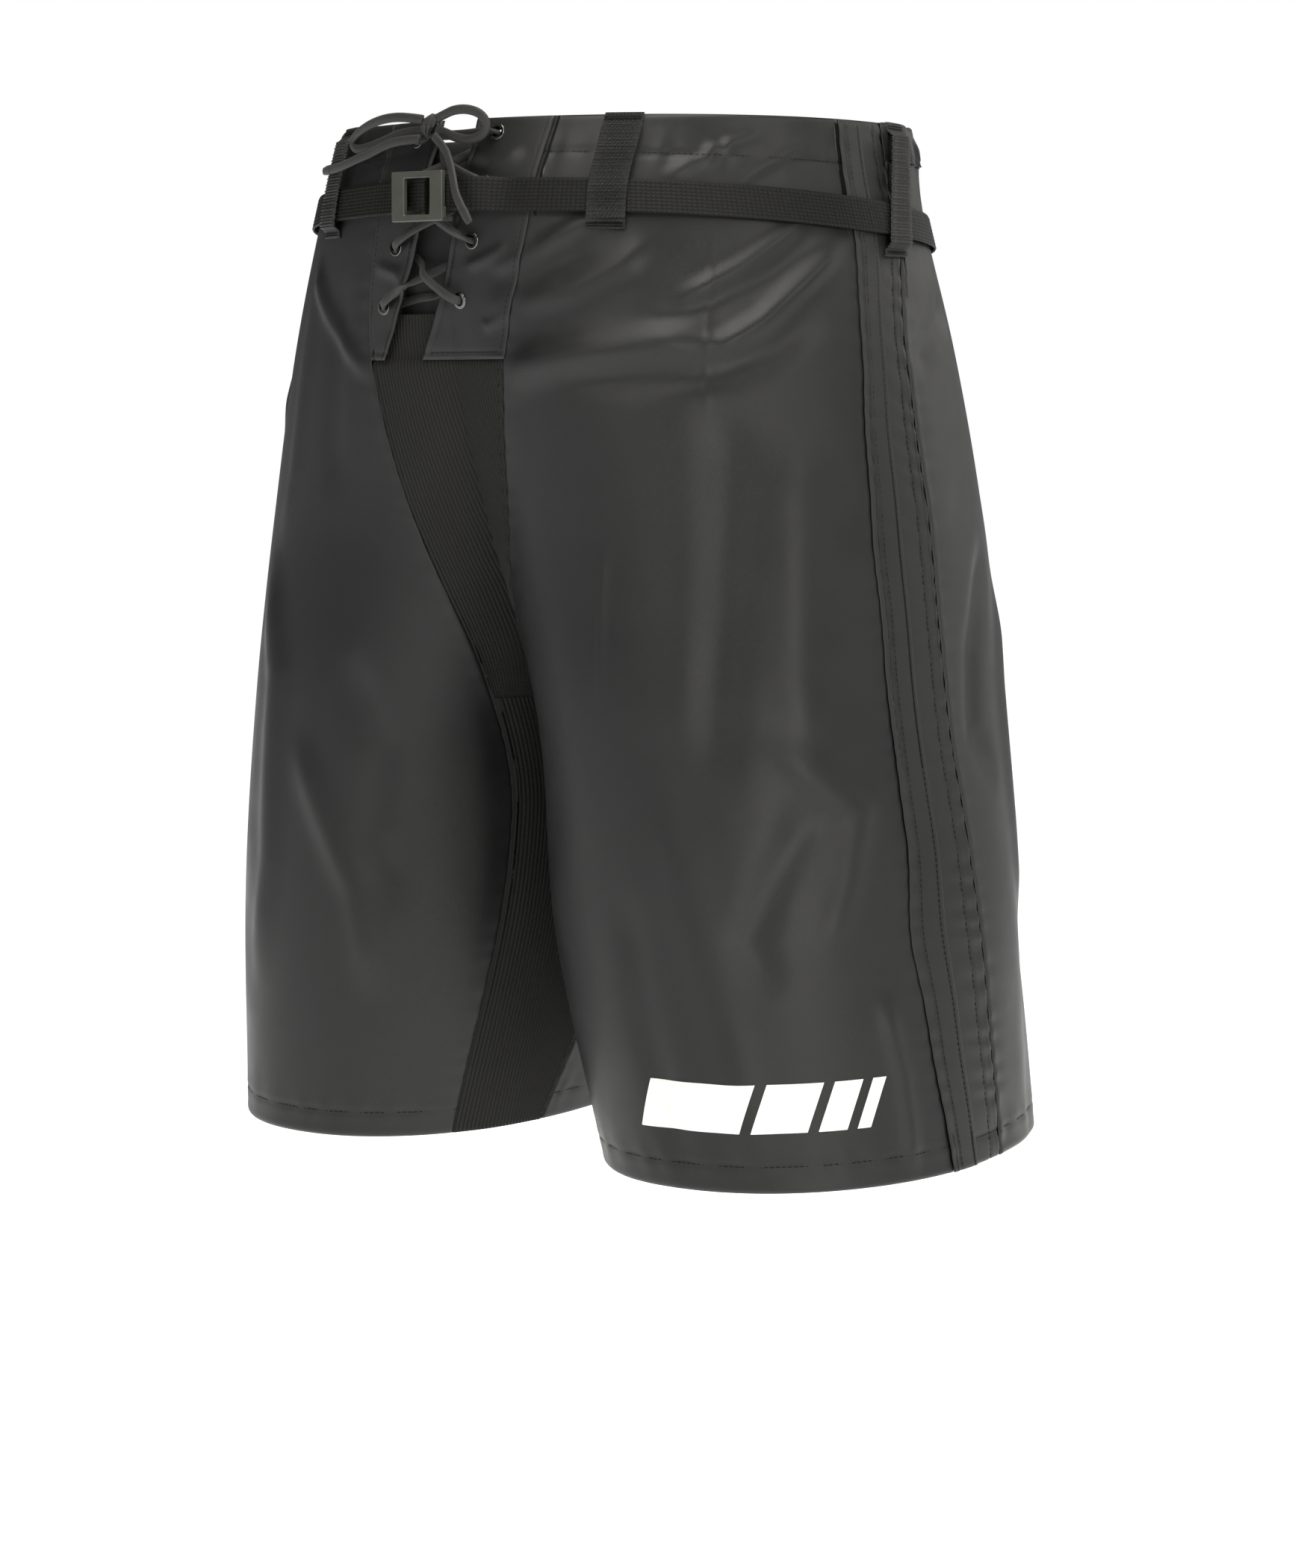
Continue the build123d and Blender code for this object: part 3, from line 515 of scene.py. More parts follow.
# ---------------------------------------------------------------- materials
def new_material(name, colour, roughness, **sockets):
    material = bpy.data.materials.new(name)
    material.use_nodes = True
    shader = material.node_tree.nodes["Principled BSDF"]
    shader.inputs["Base Color"].default_value = (*colour, 1)
    shader.inputs["Roughness"].default_value = roughness
    for socket, value in sockets.items():
        shader.inputs[socket.replace("_", " ")].default_value = value
    return material, material.node_tree, shader


def math_node(tree, operation, first, second=None):
    node = tree.nodes.new("ShaderNodeMath")
    node.operation = operation
    for socket, value in zip(node.inputs, (first, second)):
        if isinstance(value, (int, float)):
            socket.default_value = value
        elif value is not None:
            tree.links.new(value, socket)
    return node.outputs[0]


def wave_along(tree, vector, direction):
    """Sine of a vector's run along a direction given as turns per metre."""
    dot = tree.nodes.new("ShaderNodeVectorMath")
    dot.operation = "DOT_PRODUCT"
    tree.links.new(vector, dot.inputs[0])
    dot.inputs[1].default_value = (*(math.tau * turns for turns in direction), 0.0)
    return math_node(tree, "SINE", dot.outputs["Value"])


def noise(tree, scale, detail):
    node = tree.nodes.new("ShaderNodeTexNoise")
    node.inputs["Scale"].default_value = scale
    node.inputs["Detail"].default_value = detail
    tree.links.new(tree.nodes.new("ShaderNodeTexCoord").outputs["Object"], node.inputs["Vector"])
    return node.outputs["Fac"]


def ramp(tree, factor, low, high):
    node = tree.nodes.new("ShaderNodeMapRange")
    tree.links.new(factor, node.inputs["Value"])
    node.inputs["From Min"].default_value = 0.3
    node.inputs["From Max"].default_value = 0.7
    node.inputs["To Min"].default_value = low
    node.inputs["To Max"].default_value = high
    return node.outputs["Result"]


def shade(tree, shader, colour, factor):
    """Base colour times a factor that varies over the cloth."""
    node = tree.nodes.new("ShaderNodeVectorMath")
    node.operation = "SCALE"
    node.inputs[0].default_value = colour
    tree.links.new(factor, node.inputs["Scale"])
    tree.links.new(node.outputs[0], shader.inputs["Base Color"])


def bump(tree, shader, height, strength, distance):
    node = tree.nodes.new("ShaderNodeBump")
    node.inputs["Strength"].default_value = strength
    node.inputs["Distance"].default_value = distance
    tree.links.new(height, node.inputs["Height"])
    tree.links.new(node.outputs["Normal"], shader.inputs["Normal"])


def woven(name, colour, roughness, waves, strength, distance, highlight_and_edge_tint_gain=0.5, **sockets):
    """Woven or knitted cloth: its threads are sines in flat cloth coordinates, with fibre noise.

    waves are the turns per metre of its threads, distance is the bump's depth in metres, and the weight
    after it scales the painted highlight on ridges and the lighter tone beside sewn edges.
    """
    material, tree, shader = new_material(name, colour, roughness, **sockets)
    flat = tree.nodes.new("ShaderNodeUVMap")
    flat.uv_map = "cloth"
    highlight_and_edge_tint_mask = tree.nodes.new("ShaderNodeAttribute")
    highlight_and_edge_tint_mask.attribute_name = "highlight_and_edge_tint"
    relief = wave_along(tree, flat.outputs["UV"], waves[0])
    for direction in waves[1:]:
        relief = math_node(tree, "MULTIPLY", relief, wave_along(tree, flat.outputs["UV"], direction))
    fibre = noise(tree, 2600, 3)
    cloudy = noise(tree, 22, 3)
    height = math_node(tree, "ADD", relief, math_node(tree, "MULTIPLY", fibre, 0.8))
    bump(tree, shader, height, strength, distance)
    factor = math_node(tree, "ADD", ramp(tree, cloudy, 0.9, 1.1), math_node(tree, "MULTIPLY", relief, 0.12))
    factor = math_node(tree, "ADD", factor, ramp(tree, fibre, -0.25, 0.25))
    # colour lightened by the per-point painted highlight on ridges and the lighter tone beside sewn edges
    factor = math_node(tree, "ADD", factor, math_node(tree, "MULTIPLY", highlight_and_edge_tint_mask.outputs["Fac"], highlight_and_edge_tint_gain))
    shade(tree, shader, colour, factor)
    fine_rough = ramp(tree, fibre, roughness - 0.04, roughness + 0.05)
    rough = math_node(tree, "ADD", ramp(tree, cloudy, -0.05, 0.05), fine_rough)
    tree.links.new(rough, shader.inputs["Roughness"])
    return material


def plain(name, colour, roughness, scale, strength, distance, **sockets):
    """Moulded or plated surface with a fine grain and slight colour change."""
    material, tree, shader = new_material(name, colour, roughness, **sockets)
    grain = noise(tree, scale, 4)
    bump(tree, shader, grain, strength, distance)
    shade(tree, shader, colour, ramp(tree, noise(tree, scale / 12, 3), 0.9, 1.12))
    tree.links.new(ramp(tree, grain, roughness * 0.85, roughness * 1.2), shader.inputs["Roughness"])
    return material


BLACK = (0.0105, 0.0106, 0.0108)
LOOKS = {
    "shell_fabric": woven(
        "twill", BLACK, 0.40, ((900, 1500),), 0.36, 0.00012, Specular_IOR_Level=0.36),
    "stripe_fabric": woven(
        "stripe_twill", BLACK, 0.44, ((1500, 900),), 0.35, 0.00012, Specular_IOR_Level=0.36),
    "rib_knit": woven(
        "rib_knit", (0.0050, 0.0049, 0.0047), 0.8, ((0, 950),), 0.4, 0.0001, 2.4, Specular_IOR_Level=0.25),
    "tongue_knit": woven(
        "tongue_knit", (0.012, 0.012, 0.0125), 0.75, ((700, 0), (0, 900)), 0.5, 0.00016, Sheen_Weight=0.05),
    "belt_web": woven(
        "belt_webbing", (0.0038, 0.0038, 0.0034), 0.42, ((1300, 700), (1300, -700)), 0.5, 0.0001, 3.4,
        Specular_IOR_Level=0.15),
    "loop_web": woven(
        "loop_webbing", (0.010, 0.010, 0.0095), 0.45, ((620, 300), (620, -300)), 0.8, 0.0003, 0.8,
        Specular_IOR_Level=0.35),
    "lace_braid": woven(
        "lace_braid", (0.017, 0.0165, 0.016), 0.55, ((0, 1300), (900, 0)), 0.5, 0.0001, Sheen_Weight=0.08),
    "print_film": plain("print_film", (0.90, 0.91, 0.87), 0.5, 1800, 0.2, 0.00006),
}
# black thread, darker than the cloth so its dashes read as dark lines: partly its own colour, partly painted
# shade of the stitch grooves
THREAD = plain("thread", (0.004, 0.004, 0.0042), 0.6, 3000, 0.4, 0.0001, Specular_IOR_Level=0.15)
NICKEL = plain("nickel", (0.16, 0.16, 0.155), 0.16, 900, 0.05, 0.00005, Metallic=1.0)
STEEL = plain("pin_steel", (0.30, 0.30, 0.31), 0.32, 900, 0.1, 0.00005, Metallic=1.0)
PLASTIC = plain("buckle_plastic", (0.056, 0.056, 0.048), 0.34, 1400, 0.12, 0.00006, Coat_Weight=0.15)


# ---------------------------------------------------------------- camera, stage and light
def place_camera():
    turn, rise = math.radians(CAMERA_TURN), math.radians(CAMERA_RISE)
    right = Vector((math.cos(turn), math.sin(turn), 0))
    back = Vector((math.sin(turn) * math.cos(rise), -math.cos(turn) * math.cos(rise), math.sin(rise)))
    data = bpy.data.cameras.new("camera")
    data.lens = CAMERA_LENS
    data.sensor_width = 36
    camera = bpy.data.objects.new("camera", data)
    camera.location = CAMERA_AIM[0] * right + Vector((0, 0, CAMERA_AIM[1])) + CAMERA_DISTANCE * back
    camera.rotation_euler = back.to_track_quat("Z", "Y").to_euler()
    bpy.context.scene.collection.objects.link(camera)
    bpy.context.scene.camera = camera


def area_light(name, place, size, power):
    """Square light aimed at the middle of the part."""
    data = bpy.data.lights.new(name, "AREA")
    data.shape = "RECTANGLE"
    data.size = data.size_y = size
    data.energy = power
    data.color = LIGHT_COLOUR
    light = bpy.data.objects.new(name, data)
    light.location = place
    light.rotation_euler = (Vector(place) - Vector((0, 0, -0.3))).to_track_quat("Z", "Y").to_euler()
    bpy.context.scene.collection.objects.link(light)


def studio():
    """Round floor that glows white, and a surround that is white to the camera and dim to the part."""
    floor_z = CAD_BOX[0][2] - 0.3
    radius, corners = 14.0, 48
    turns = np.linspace(0, math.tau, corners, endpoint=False)
    points = [(radius * math.cos(t), radius * math.sin(t), floor_z) for t in turns]
    floor = new_object("floor", points, [list(range(corners))])
    glow = {"Emission_Color": (1, 1, 1, 1), "Emission_Strength": FLOOR_GLOW}
    floor.data.materials.append(new_material("pale_floor", (0.92, 0.92, 0.92), 0.8, **glow)[0])
    world = bpy.data.worlds.new("studio")
    world.use_nodes = True
    tree = world.node_tree
    background = tree.nodes["Background"]
    background.inputs["Color"].default_value = (1, 1, 1, 1)
    seen = tree.nodes.new("ShaderNodeLightPath").outputs["Is Camera Ray"]
    lean = tree.nodes.new("ShaderNodeVectorMath")
    lean.operation = "DOT_PRODUCT"
    tree.links.new(tree.nodes.new("ShaderNodeTexCoord").outputs["Generated"], lean.inputs[0])
    lean.inputs[1].default_value = AMBIENT_LEAN
    surround = math_node(tree, "ADD", lean.outputs["Value"], AMBIENT)
    unseen = math_node(tree, "MULTIPLY", surround, math_node(tree, "SUBTRACT", 1.0, seen))
    tree.links.new(math_node(tree, "ADD", unseen, seen), background.inputs["Strength"])
    bpy.context.scene.world = world
    for name, (place, size, power) in LIGHTS.items():
        area_light(name, place, size, power)


# ---------------------------------------------------------------- cords
def eyelet_centres(side):
    drop = 0.0 if side > 0 else 2.5
    return [(slit_centre(z) + side * EYELET_OFFSET, z - drop) for z in EYELET_HEIGHTS]


def eyelet_point(x, z, depth):
    """Point at a depth along the placket's outward normal."""
    step = 2.0
    across = Vector((2 * step, float(face_y(x + step, z) - face_y(x - step, z)), 0))
    down = Vector((0, float(face_y(x, z - step) - face_y(x, z + step)), -2 * step))
    return Vector((x, float(face_y(x, z)), z)) + depth * down.cross(across).normalized()


def fly_point(x, z, out):
    return Vector((x, float(face_y(x, z)) - out, z))


def lacing_half(side):
    """Lace from the foot of the slit up to the knot, through one eyelet of each row."""
    rows = {1: eyelet_centres(1), -1: eyelet_centres(-1)}
    points = []
    here = side
    for row in (3, 2, 1, 0):
        x, z = rows[here][row]
        points += [eyelet_point(x, z, LACE_UNDER), eyelet_point(x, z, LACE_OVER)]
        if row:
            next_x, next_z = rows[-here][row - 1]
            rise = next_z - z
            cross = LACE_OVER + 0.9 if here > 0 else -2.4
            points.append(fly_point(x - here * 14, z + 0.25 * rise, LACE_OVER + 0.4))
            points.append(fly_point(slit_centre(z + rise / 2), z + 0.5 * rise, cross))
            points.append(fly_point(next_x + here * 15, z + 0.72 * rise, LACE_UNDER))
            here = -here
    end = KNOT_CENTRE[0] + here * (KNOT_SIZE[0] / 2 + 0.5)
    points.append(fly_point((x + end) / 2 + here, z - 1, LACE_OVER))
    points.append(Vector((end, KNOT_CENTRE[1] + 3.5, KNOT_CENTRE[2] - 5)))
    return points


def lacing_route():
    """The whole lace below the knot: one half down, across under the slit, the other half up."""
    foot_z = EYELET_HEIGHTS[-1]
    foot = [fly_point(slit_centre(foot_z), foot_z + 4.0, LACE_UNDER)]
    return lacing_half(1)[::-1] + foot + lacing_half(-1)


def spline_points(route):
    """Points read from the NURBS spline that has a route's points as its control points, in mm."""
    curve = bpy.data.curves.new("route", "CURVE")
    curve.dimensions = "3D"
    curve.resolution_u = 14
    spline = curve.splines.new("NURBS")
    spline.points.add(len(route) - 1)
    for point, place in zip(spline.points, route):
        point.co = (*(c * MM for c in place), 1)
    spline.order_u = 3
    spline.use_endpoint_u = True
    holder = bpy.data.objects.new("route", curve)
    mesh = bpy.data.meshes.new_from_object(holder)
    points = np.array([v.co for v in mesh.vertices], float) / MM
    bpy.data.objects.remove(holder)
    bpy.data.meshes.remove(mesh)
    bpy.data.curves.remove(curve)
    return points


def read_line(at, lengths, points):
    """A line read at distances along it."""
    return np.stack([np.interp(at, lengths, points[:, k]) for k in range(3)], -1)


def frames(points):
    """Flat-side normal, turned towards the outside, and cross direction along a line."""
    outward = points * np.array([1, 1, 0])
    outward /= np.linalg.norm(outward, axis=1)[:, None]
    tangent = np.gradient(points, axis=0)
    tangent /= np.linalg.norm(tangent, axis=1)[:, None]
    normal = np.zeros_like(points)
    last = outward[0]
    for i, (t, want) in enumerate(zip(tangent, outward)):
        guess = 0.12 * want + last
        guess = guess - guess.dot(t) * t
        last = guess / np.linalg.norm(guess)
        normal[i] = last
    return normal, np.cross(tangent, normal)


def braid(name, points, width, thick, relief=0.17, taper=0.0):
    """Flat-oval braided cord along points in mm, with its plaited surface as geometry."""
    step, around = 0.55, 24
    lengths = run_lengths(points)
    along = np.linspace(0, lengths[-1], max(int(lengths[-1] / step), 4))
    points = read_line(along, lengths, points)
    normal, cross = frames(points)
    turn = np.linspace(0, math.tau, around, endpoint=False)[None, :]
    along = along[:, None]
    lay = math.tau * along / PLAIT_PITCH
    bulge = relief * np.cos(PLAITS * turn + lay) * np.cos(PLAITS * turn - lay)
    ends = 1 - 0.2 * ease((along - lengths[-1] + taper) / taper) if taper else 1.0
    a = (width / 2 + bulge) * ends
    b = (thick / 2 + bulge) * ends
    ring = (
        points[:, None, :]
        + (a * np.cos(turn))[..., None] * cross[:, None, :]
        + (b * np.sin(turn))[..., None] * normal[:, None, :]
    )
    index = np.arange(len(points) * around).reshape(-1, around)
    after = np.roll(index, -1, axis=1)
    quads = np.stack([index[:-1], after[:-1], after[1:], index[1:]], -1).reshape(-1, 4).tolist()
    quads += [index[0, ::-1].tolist(), index[-1].tolist()]
    flat = np.stack([turn * width / 4 + 0 * along, along + 0 * turn], -1).reshape(-1, 2) * MM
    obj = new_object(name, ring.reshape(-1, 3) * MM, quads, flat)
    return finish_piece(obj, "lace_braid"), points, float(lengths[-1])


def lace_cord(name, route, node):
    obj, points, length = braid(name, spline_points(route), LACE_WIDTH, LACE_THICK)
    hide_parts(node)


def knot():
    """Bow knot: three wraps of lace round the crossing."""
    centre, size = np.array(KNOT_CENTRE, float), np.array(KNOT_SIZE, float) / 2
    turns = np.linspace(0, math.tau, 60)
    for number, (shift, wide, tall, lean) in enumerate(KNOT_WRAPS, 1):
        sway = size[0] * 0.3 * np.sin(turns * 2 + lean) + lean * size[2] * 0.3 * np.sin(turns)
        x = centre[0] + shift + sway
        y = centre[1] - size[1] * wide * np.cos(turns)
        z = centre[2] + size[2] * tall * np.sin(turns)
        line = np.stack([x, y, z], -1)
        wrap = braid(f"lace_knot_wrap_{number}", line, LACE_WIDTH * 0.86, LACE_THICK * 0.8)[0]
        if number == 1:
            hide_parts("lace_knot")


def lace_tip(name, route):
    """Fused end of a lace, which narrows."""
    last, before = np.array(route[-1], float), np.array(route[-2], float)
    heading = (last - before) / np.linalg.norm(last - before)
    points = np.stack([last + heading * d for d in np.linspace(-1.0, TIP_LENGTH, 24)])
    return braid(name, points, LACE_WIDTH * 1.06, LACE_THICK * 1.06, relief=0.1, taper=5.0)[0]


def laces():
    lace_cord("lacing_cord", lacing_route(), "lacing")
    lace_cord("bow_loop_left", LOOP_LEFT_ROUTE, "lace_loop_left")
    lace_cord("bow_loop_right", LOOP_RIGHT_ROUTE, "lace_loop_right")
    for side, route in (("left", END_LEFT_ROUTE), ("right", END_RIGHT_ROUTE)):
        tip = lace_tip(f"lace_tip_{side}", route)
        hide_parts("lace_tips")
        lace_cord(f"lace_tail_{side}", route, f"lace_end_{side}")
    knot()


# ---------------------------------------------------------------- stitches
def stitches(name, lines, pitch=3.3, length=2.7, thick=0.34, slot="shell_fabric"):
    """Thread dashes along lines of (points, outward directions), as one mesh."""
    rings, around = 5, 6
    t = np.linspace(-1, 1, rings)
    turn = np.linspace(0, math.tau, around, endpoint=False)
    fat = thick / 2 * np.sqrt(np.clip(1 - t ** 4, 0.06, 1))
    blocks = []
    for points, outward in lines:
        at = run_lengths(points)
        centres = np.arange(pitch / 2, at[-1] - pitch / 4, pitch)
        centre = read_line(centres, at, points)
        up = read_line(centres, at, outward)
        ahead = read_line(centres + 0.5, at, points) - centre
        ahead /= np.maximum(np.linalg.norm(ahead, axis=1), 1e-9)[:, None]
        up = up - (up * ahead).sum(1)[:, None] * ahead
        up /= np.linalg.norm(up, axis=1)[:, None]
        beside = np.cross(ahead, up)
        rise = thick * 0.45 * (1 - t ** 2)
        block = (
            centre[:, None, None, :]
            + (t * length / 2)[None, :, None, None] * ahead[:, None, None, :]
            + (rise[:, None] + fat[:, None] * np.sin(turn))[None, :, :, None] * up[:, None, None, :]
            + (fat[:, None] * np.cos(turn))[None, :, :, None] * beside[:, None, None, :]
        )
        blocks.append(block.reshape(-1, rings * around, 3))
    points = np.concatenate(blocks)
    index = np.arange(rings * around).reshape(rings, around)
    after = np.roll(index, -1, axis=1)
    quads = np.stack([index[:-1], index[1:], after[1:], after[:-1]], -1).reshape(-1, 4)
    shift = np.arange(len(points))[:, None] * rings * around
    faces = (quads + shift[:, None]).reshape(-1, 4).tolist()
    faces += (index[0] + shift).tolist() + (index[-1][::-1] + shift).tolist()
    finish_piece(new_object(name, points.reshape(-1, 3) * MM, faces), slot, material=THREAD)


def line_on(course, heights, out):
    """The line where a course starts, with its outward directions."""
    layers = []
    for extra in (0.0, 1.0):
        x, y = course(heights, 0.0, out + extra)
        layers.append(np.stack([x, y, heights + tilt_at(heights) * y], -1))
    return layers[0], layers[1] - layers[0]


def skin_line(heights, angles, side, out):
    return line_on(leg_course(lambda h: angles, lambda h: angles, side), heights, out)


def front_skin_line(x, heights, out):
    return line_on(front_course(lambda h: x, lambda h: x), heights, out)


# ---------------------------------------------------------------- panels
def stripe_front(h):
    return smooth(STRIPE_FRONT, h) + 0.30 * np.sin(h / 27) + 0.16 * np.sin(h / 11.3 + 1)


def stripe_rear(h):
    return smooth(STRIPE_REAR, h) + 0.28 * np.sin(h / 33 + 2) + 0.16 * np.sin(h / 13.1)


def pucker(along, distance, amount=0.3, reach=7.0):
    """Ripples that a line of stitches draws in beside itself."""
    phase = along / 2.3 + 1.6 * np.sin(along / 14.0) + 0.7 * np.sin(along / 5.1)
    return amount * np.sin(phase) * np.exp(-np.abs(distance) / reach)


def stripe_at(h, share):
    return stripe_front(h) + share * (stripe_rear(h) - stripe_front(h))


def casing_seam(t):
    """Height of the casing's stitch line, which drops towards the side seam."""
    return 1 - CASING_DEPTH - CASING_SEAM_DROP * t


def front_panel(side, name):
    def relief(h, t, s, r):
        along = 170 * t
        lines = groove(h - casing_seam(t), 0.8, 1.1) + hem_groove(h)
        lines += pucker(along, h + CASING_DEPTH, 0.42) + pucker(along + 40, h - HEM_Z - HEM_STITCH, 0.35)
        return lines + pucker(h, r, 0.35) + pucker(h + 30, s, 0.25)

    course = leg_course(lambda h: front_seam(h, side), stripe_front, side)
    panel(f"front_cloth_{name}", course, RIM_Z - 0.1, HEM_Z, "shell_fabric", f"front_panel_{name}",
          "belt_cloth", edges=(0.5, 1, 1, 1), relief=relief)


def back_panel(side, name):
    def relief(h, t, s, r):
        hem = hem_groove(h) + pucker(260 * t, h - HEM_Z - HEM_STITCH, 0.4)
        return hem + pucker(h, s, 0.5) + pucker(h + 20, r, 0.3)

    panel(f"back_cloth_{name}", leg_course(stripe_rear, rear_seam, side), -CASING_DEPTH, HEM_Z,
          "shell_fabric", f"back_panel_{name}", "belt_cloth", relief=relief)


def side_panel(side, name):
    """Side cloth, and the front part of the stripe as a flap that laps over it."""
    def relief(h, t, s, r):
        lines = sum(groove(t - at, 0.4, 0.03) for at in STRIPE_STITCHES[2:])
        ripples = pucker(h + 8 * t, (t - 0.9) * 30, 0.4, 9.0) * ease((t - 0.45) / 0.1)
        return hem_groove(h) + lines + ripples

    panel(f"side_cloth_{name}", leg_course(stripe_front, stripe_rear, side), RIM_Z - 0.1, HEM_Z,
          "stripe_fabric", f"side_panel_{name}", "belt_cloth", relief=relief, column_step=1.1)

    def flap_relief(h, t, s, r):
        lines = sum(groove(t - at / STRIPE_FLAP_SHARE, 0.4, 0.05) for at in STRIPE_STITCHES[:2])
        fold = 0.35 * np.exp(-(s / 2.0) ** 2)
        wander = 0.3 * np.sin(h / 31.0 + side) * np.exp(-s / 4)
        return fold + wander + lines + pucker(h + 5 * t, s - 2, 0.28, 6.0)

    course = leg_course(lambda h: stripe_front(h) - 0.7, lambda h: stripe_at(h, STRIPE_FLAP_SHARE), side)
    panel(f"stripe_flap_{name}", course, RIM_Z - 2.0, HEM_Z + 0.3, "stripe_fabric", f"side_stripe_{name}",
          f"side_cloth_{name}", out=1.45, thick=0.8, edges=(0.5, 0.7, 0.5, 0.5), relief=flap_relief,
          column_step=1.0)


def rib_relief(h, t, s, r):
    ridge = np.abs(np.cos(math.pi * s / RIB))
    return 0.45 * ridge - 0.34 + 0.10 * np.sin(h / 9 + s / 7)


def gussets():
    def head(h, t, s, r):
        return rib_relief(h, t, s, r) - 3.0 * ease((h - FLY_FOOT_Z + 4) / 8)

    def rear_x(h):
        return leg_xy(h, rear_seam(h))[0]

    knit = {"thick": KNIT, "ribbed": True, "column_step": RIB / 8}
    course = front_course(lambda h: front_seam_x(h, -1), lambda h: front_seam_x(h, 1))
    panel("front_gusset_knit", course, GUSSET_HEAD_Z, CROTCH_Z - 0.3, "rib_knit", "gusset_front",
          "front_cloth_left", edges=(1, 1, 0, 0), relief=head, **knit)
    course = front_course(lambda h: -rear_x(h), rear_x, rear=True)
    panel("rear_gusset_knit", course, REAR_GUSSET_TOP_Z, CROTCH_Z - 0.3, "rib_knit", "gusset_rear",
          "back_cloth_left", edges=(1, 1, 1, 0), relief=rib_relief, **knit)
    knit["column_step"] = RIB / 7
    for side, name in SIDES:
        course = leg_course(lambda h: front_seam(h, side), lambda h: smooth(REAR_SEAM, h) - 360, side)
        panel(f"inseam_knit_{name}", course, CROTCH_Z, HEM_Z, "rib_knit", f"inseam_gusset_{name}",
              f"front_cloth_{name}", edges=(1, 1, 0, 0.6), relief=rib_relief, step=3.6, **knit)


def inner_layers():
    for side, name in SIDES:
        course = leg_course(lambda h: smooth(REAR_SEAM, h) - 359, lambda h: smooth(REAR_SEAM, h) - 1, side)
        panel(f"hem_facing_{name}", course, HEM_Z + HEM_DEPTH, HEM_Z + 0.5, "shell_fabric",
              f"hem_band_{name}", f"front_cloth_{name}", "folded", out=INNER_LAYER + 0.6,
              edges=(0, 0, 0.4, 0.4))
        course = leg_course(lambda h: front_seam(h, side) + 1, lambda h: stripe_rear(h) - 0.5, side)
        panel(f"waist_facing_cloth_{name}", course, RIM_Z - 0.1, -CASING_DEPTH, "shell_fabric",
              f"waist_facing_{name}", f"front_cloth_{name}", "folded", out=INNER_LAYER + 1.2,
              edges=(0, 0, -0.6, 0.4))


def around_back(height, t, out):
    """Course round the back from one side seam to the other."""
    start = stripe_rear(height)
    middle = angle_at(0.0 * height, height, rear=True)
    share = 1 - np.abs(1 - 2 * t)
    angle = start + (middle - start) * share
    x, y = leg_xy(height, angle, out + drape(height, angle, 1))
    return np.where(t < 0.5, x, -x), y


def rear_waistband():
    """Casing gathered over the elastic: outer wall, top fold and inner wall as one closed band."""
    columns = 620
    t = np.linspace(0, 1, columns)[None, :]
    angle = BAND_ANGLES[0] + (BAND_ANGLES[1] - BAND_ANGLES[0]) * (1 - np.abs(1 - 2 * t))
    outer_wall = [(height, 0.2) for height in np.linspace(-CASING_DEPTH - 1.2, BAND_FOLD_Z, 16)]
    fold = [(BAND_FOLD_Z + 1.5 * math.sin(a), -1.8 + 2.0 * math.cos(a)) for a in np.linspace(0, math.pi, 9)]
    inner_wall = [(height, BAND_BACK) for height in np.linspace(BAND_FOLD_Z, -CASING_DEPTH, 10)]
    profile = outer_wall + fold + inner_wall
    near_fold = range(len(outer_wall) - 2, len(outer_wall) + len(fold) + 2)
    ends = ease(np.minimum(t, 1 - t) * 60)
    layers = []
    for inset in (0.0, TWILL):
        rows = []
        for number, (height, out) in enumerate(profile):
            h = np.full((1, columns), height)
            facing = 1.0 if out > -1.8 else -1.0
            wide, fine = gather_waves(angle, 0.4 * np.sin(height * 0.3))
            ripple = (0.9 + 0.9 * wide + 0.4 * fine) * ends
            depth = 0.8 * ripple + groove(height - casing_seam(0.0), 0.8, 1.2) - inset
            x, y = around_back(h, t, out + facing * depth)
            rows.append(np.stack([x, y, h + 0.5 * ripple * (number in near_fold)], -1)[0])
        layers.append(np.stack(rows)[:, ::-1])
    flat = np.stack(np.broadcast_arrays(t * 470, np.arange(len(profile))[:, None] * 1.3), -1) * MM
    obj = shell_mesh("rear_casing", *layers, flat, np.zeros((len(profile), columns)))
    finish_piece(obj, "shell_fabric", "rear_waistband", "waist_elastic")
    obj["cut"] = (*ELASTIC_CUT, ELASTIC_CUT[0] * ELASTIC_CUT[1])
    declare_sheet(obj)


def cut_hole(obj, front, behind):
    """Round hole of an eyelet between two points, in mm."""
    corners = 32
    axis = (front - behind).normalized().to_track_quat("Z", "Y")
    ring = [math.tau * k / corners for k in range(corners)]
    circle = [Vector((EYELET_HOLE * math.cos(a), EYELET_HOLE * math.sin(a), 0)) for a in ring]
    points = [(centre + axis @ c) * MM for centre in (behind, front) for c in circle]
    after = [(k + 1) % corners for k in range(corners)]
    faces = [[k, after[k], corners + after[k], corners + k] for k in range(corners)]
    faces += [list(range(corners - 1, -1, -1)), list(range(corners, 2 * corners))]
    cutter = new_object("cutter", points, faces)
    cutter.data.shade_flat()
    hole = obj.modifiers.new("hole", "BOOLEAN")
    hole.operation = "DIFFERENCE"
    hole.object = cutter
    with bpy.context.temp_override(object=obj, active_object=obj):
        bpy.ops.object.modifier_apply(modifier="hole")
    bpy.data.meshes.remove(cutter.data)


